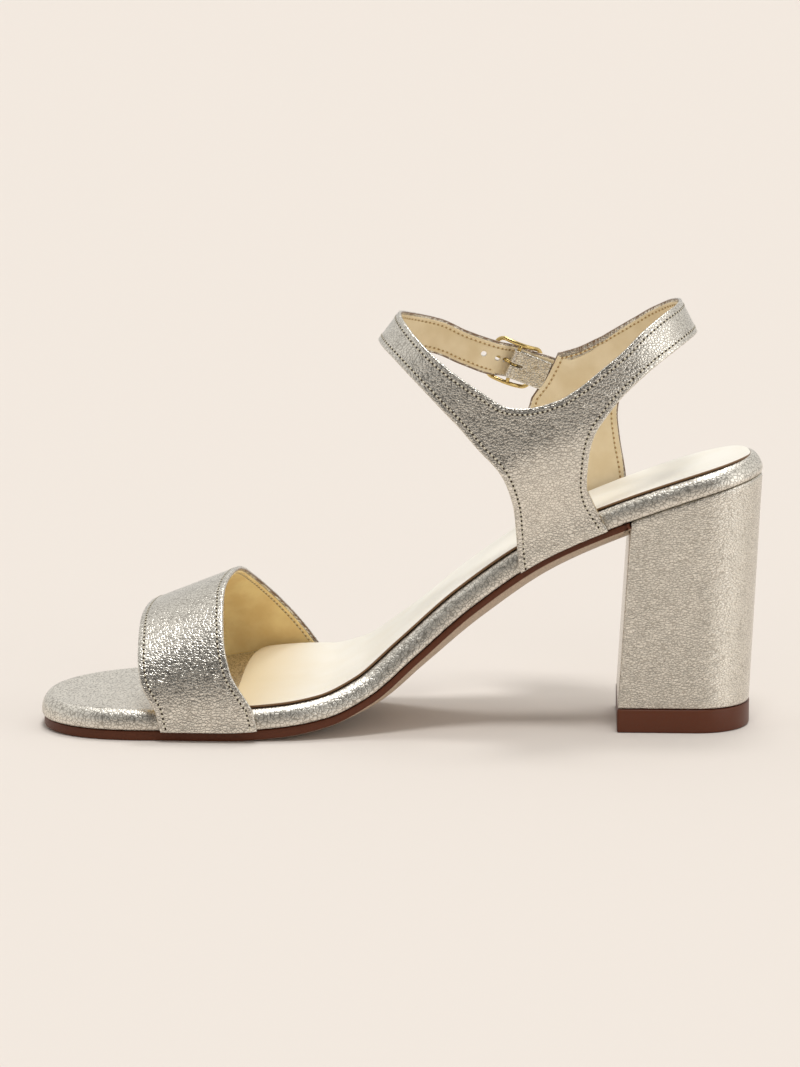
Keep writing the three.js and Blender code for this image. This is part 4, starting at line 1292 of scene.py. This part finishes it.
class SANDAL_OT_ankle(bpy.types.Operator):
    """Ankle upper with its lining, seams and punched holes"""

    bl_idname = "sandal.ankle"
    bl_label = "Ankle Upper"

    def execute(self, context):
        grid, normals, standing = ankle_grid()
        thickness = sizes().strap_wall / MM
        cutter = hole_cutters()
        # The ankle's rim marks paint the cut-edge brown as shade along the lining's edge
        points, faces, marks = wall(grid, normals, 0.45, thickness, 0.4)
        outer = marked_piece("ankle_leather", points, faces, marks, finish("strap_leather"))
        points, faces, _ = wall(grid[1:-1, 1:-1], normals[1:-1, 1:-1], 0.0, 0.47, 0.12)
        lining = new_piece("ankle_lining", points, faces, finish("lining_leather"))
        for piece in (outer, lining):
            punch(piece, cutter)
        bpy.data.objects.remove(cutter)
        finish_piece(outer, "metallic_leather", "ankle_upper")
        finish_piece(lining, "sock_leather")
        skip = border_skip(grid, standing)
        stitch("ankle_outer", grid, normals, thickness + 0.02, 1, skip, OUTER_SEAM)
        stitch("ankle_inner", grid, normals, -0.02, -1, skip, INNER_SEAM)
        return {"FINISHED"}


class SANDAL_OT_buckle(bpy.types.Operator):
    """Buckle frame, prong and leather tab"""

    bl_idname = "sandal.buckle"
    bl_label = "Buckle"

    def execute(self, context):
        for name, (points, faces), node in (
            ("buckle_frame_metal", frame_points(), "buckle_frame"),
            ("buckle_prong_metal", prong_points(), "buckle_prong"),
        ):
            piece = new_piece(name, on_buckle(points), faces, finish("gilt_metal"))
            finish_piece(piece, "buckle_metal", node)
        finish_piece(tab_piece(), "metallic_leather", "buckle_tab")
        return {"FINISHED"}


class SANDAL_OT_stage(bpy.types.Operator):
    """Floor, soft light and camera"""

    bl_idname = "sandal.stage"
    bl_label = "Stage"

    def execute(self, context):
        scene = context.scene
        mesh = bpy.data.meshes.new("floor")
        reach = 30.0
        corners = [(-reach, -reach, 0), (reach, -reach, 0), (reach, reach, 0), (-reach, reach, 0)]
        mesh.from_pydata(corners, [], [(0, 1, 2, 3)])
        floor = bpy.data.objects.new("floor", mesh)
        scene.collection.objects.link(floor)
        made = Finish("floor_paper")
        made.set(Base_Color=tuple(scene.sandal_colours.floor), Roughness=1.0, Specular_IOR_Level=0.0)
        mesh.materials.append(made.material)

        world = bpy.data.worlds.new("studio")
        scene.world = world
        world.use_nodes = True
        nodes, links = world.node_tree.nodes, world.node_tree.links
        direction = nodes.new("ShaderNodeTexCoord").outputs["Generated"]
        towards = nodes.new("ShaderNodeVectorMath")
        towards.operation = "DOT_PRODUCT"
        links.new(direction, towards.inputs[0])
        towards.inputs[1].default_value = (0.05, -0.86, 0.5)
        dark_card = nodes.new("ShaderNodeMapRange")
        dark_card.interpolation_type = "SMOOTHSTEP"
        links.new(towards.outputs["Value"], dark_card.inputs["Value"])
        for key, value in (("From Min", 0.57), ("From Max", 0.84), ("To Min", 0.74), ("To Max", 0.1)):
            dark_card.inputs[key].default_value = value
        background = nodes["Background"]
        background.inputs["Color"].default_value = (1, 0.985, 0.96, 1)
        links.new(dark_card.outputs["Result"], background.inputs["Strength"])

        for name, energy, aim, angle, shows in (
            ("front_softbox", 1.3, (-0.05, 0.3, -1), 16, True),
            ("rear_softbox", 0.7, (-0.05, -0.3, -1), 16, True),
            ("heel_side_softbox", 0.5, (-0.9, 0.45, -0.25), 40, True),
            ("front_fill", 0.75, (0.1, 1, -0.35), 60, False),
        ):
            data = bpy.data.lights.new(name, "SUN")
            data.energy = energy
            data.angle = math.radians(angle)
            lamp = bpy.data.objects.new(name, data)
            lamp.rotation_mode = "QUATERNION"
            lamp.rotation_quaternion = Vector(aim).normalized().to_track_quat("-Z", "Y")
            lamp.visible_glossy = shows
            scene.collection.objects.link(lamp)
        scene.view_settings.view_transform = "Standard"
        add_camera(scene)
        return {"FINISHED"}


def add_camera(scene):
    """A long lens a little above the sandal and turned towards its heel. The focal length is in
    pixels of the picture's height."""
    focal, picture_height, sensor = 3900, 1067, 36
    pitch, yaw, distance = math.radians(9), math.radians(-2.6), 1261
    target = np.array([115.9, 0, 61.6])
    level = math.cos(pitch)
    forward = np.array([math.sin(yaw) * level, math.cos(yaw) * level, -math.sin(pitch)])
    right = np.array([math.cos(yaw), -math.sin(yaw), 0])
    up = np.cross(right, forward)
    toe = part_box("footbed")[0].x / MM
    where = (target - forward * distance + np.array([toe, -3, 0])) * MM
    data = bpy.data.cameras.new("camera")
    data.sensor_width = sensor
    data.lens = sensor * focal / picture_height
    data.clip_start, data.clip_end = 0.01, 200
    camera = bpy.data.objects.new("camera", data)
    scene.collection.objects.link(camera)
    matrix = np.eye(4)
    matrix[:3, :3] = np.stack([right, up, -forward], 1)
    matrix[:3, 3] = where
    camera.matrix_world = Matrix(matrix.tolist())
    scene.camera = camera


class SANDAL_PT_panel(bpy.types.Panel):
    """Sizes, colours and makers of the sandal"""

    bl_label = "Heeled Sandal"
    bl_idname = "SANDAL_PT_panel"
    bl_space_type = "VIEW_3D"
    bl_region_type = "UI"
    bl_category = "Sandal"

    def draw(self, context):
        scene = context.scene
        for group in (scene.sandal_sizes, scene.sandal_colours):
            box = self.layout.box()
            for key in group.__annotations__:
                box.prop(group, key)
        for operator in OPERATORS:
            self.layout.operator(operator.bl_idname)


OPERATORS = (
    SANDAL_OT_sole, SANDAL_OT_heel, SANDAL_OT_vamp, SANDAL_OT_ankle, SANDAL_OT_buckle, SANDAL_OT_stage,
)
CLASSES = (SandalSizes, SandalColours, *OPERATORS, SANDAL_PT_panel)


def register():
    for item in CLASSES:
        bpy.utils.register_class(item)
    bpy.types.Scene.sandal_sizes = bpy.props.PointerProperty(type=SandalSizes)
    bpy.types.Scene.sandal_colours = bpy.props.PointerProperty(type=SandalColours)


def unregister():
    del bpy.types.Scene.sandal_colours
    del bpy.types.Scene.sandal_sizes
    for item in reversed(CLASSES):
        bpy.utils.unregister_class(item)


def main():
    register()
    bpy.ops.sandal.sole()
    bpy.ops.sandal.heel()
    bpy.ops.sandal.vamp()
    bpy.ops.sandal.ankle()
    bpy.ops.sandal.buckle()
    bpy.ops.sandal.stage()


if __name__ == "__main__":
    main()
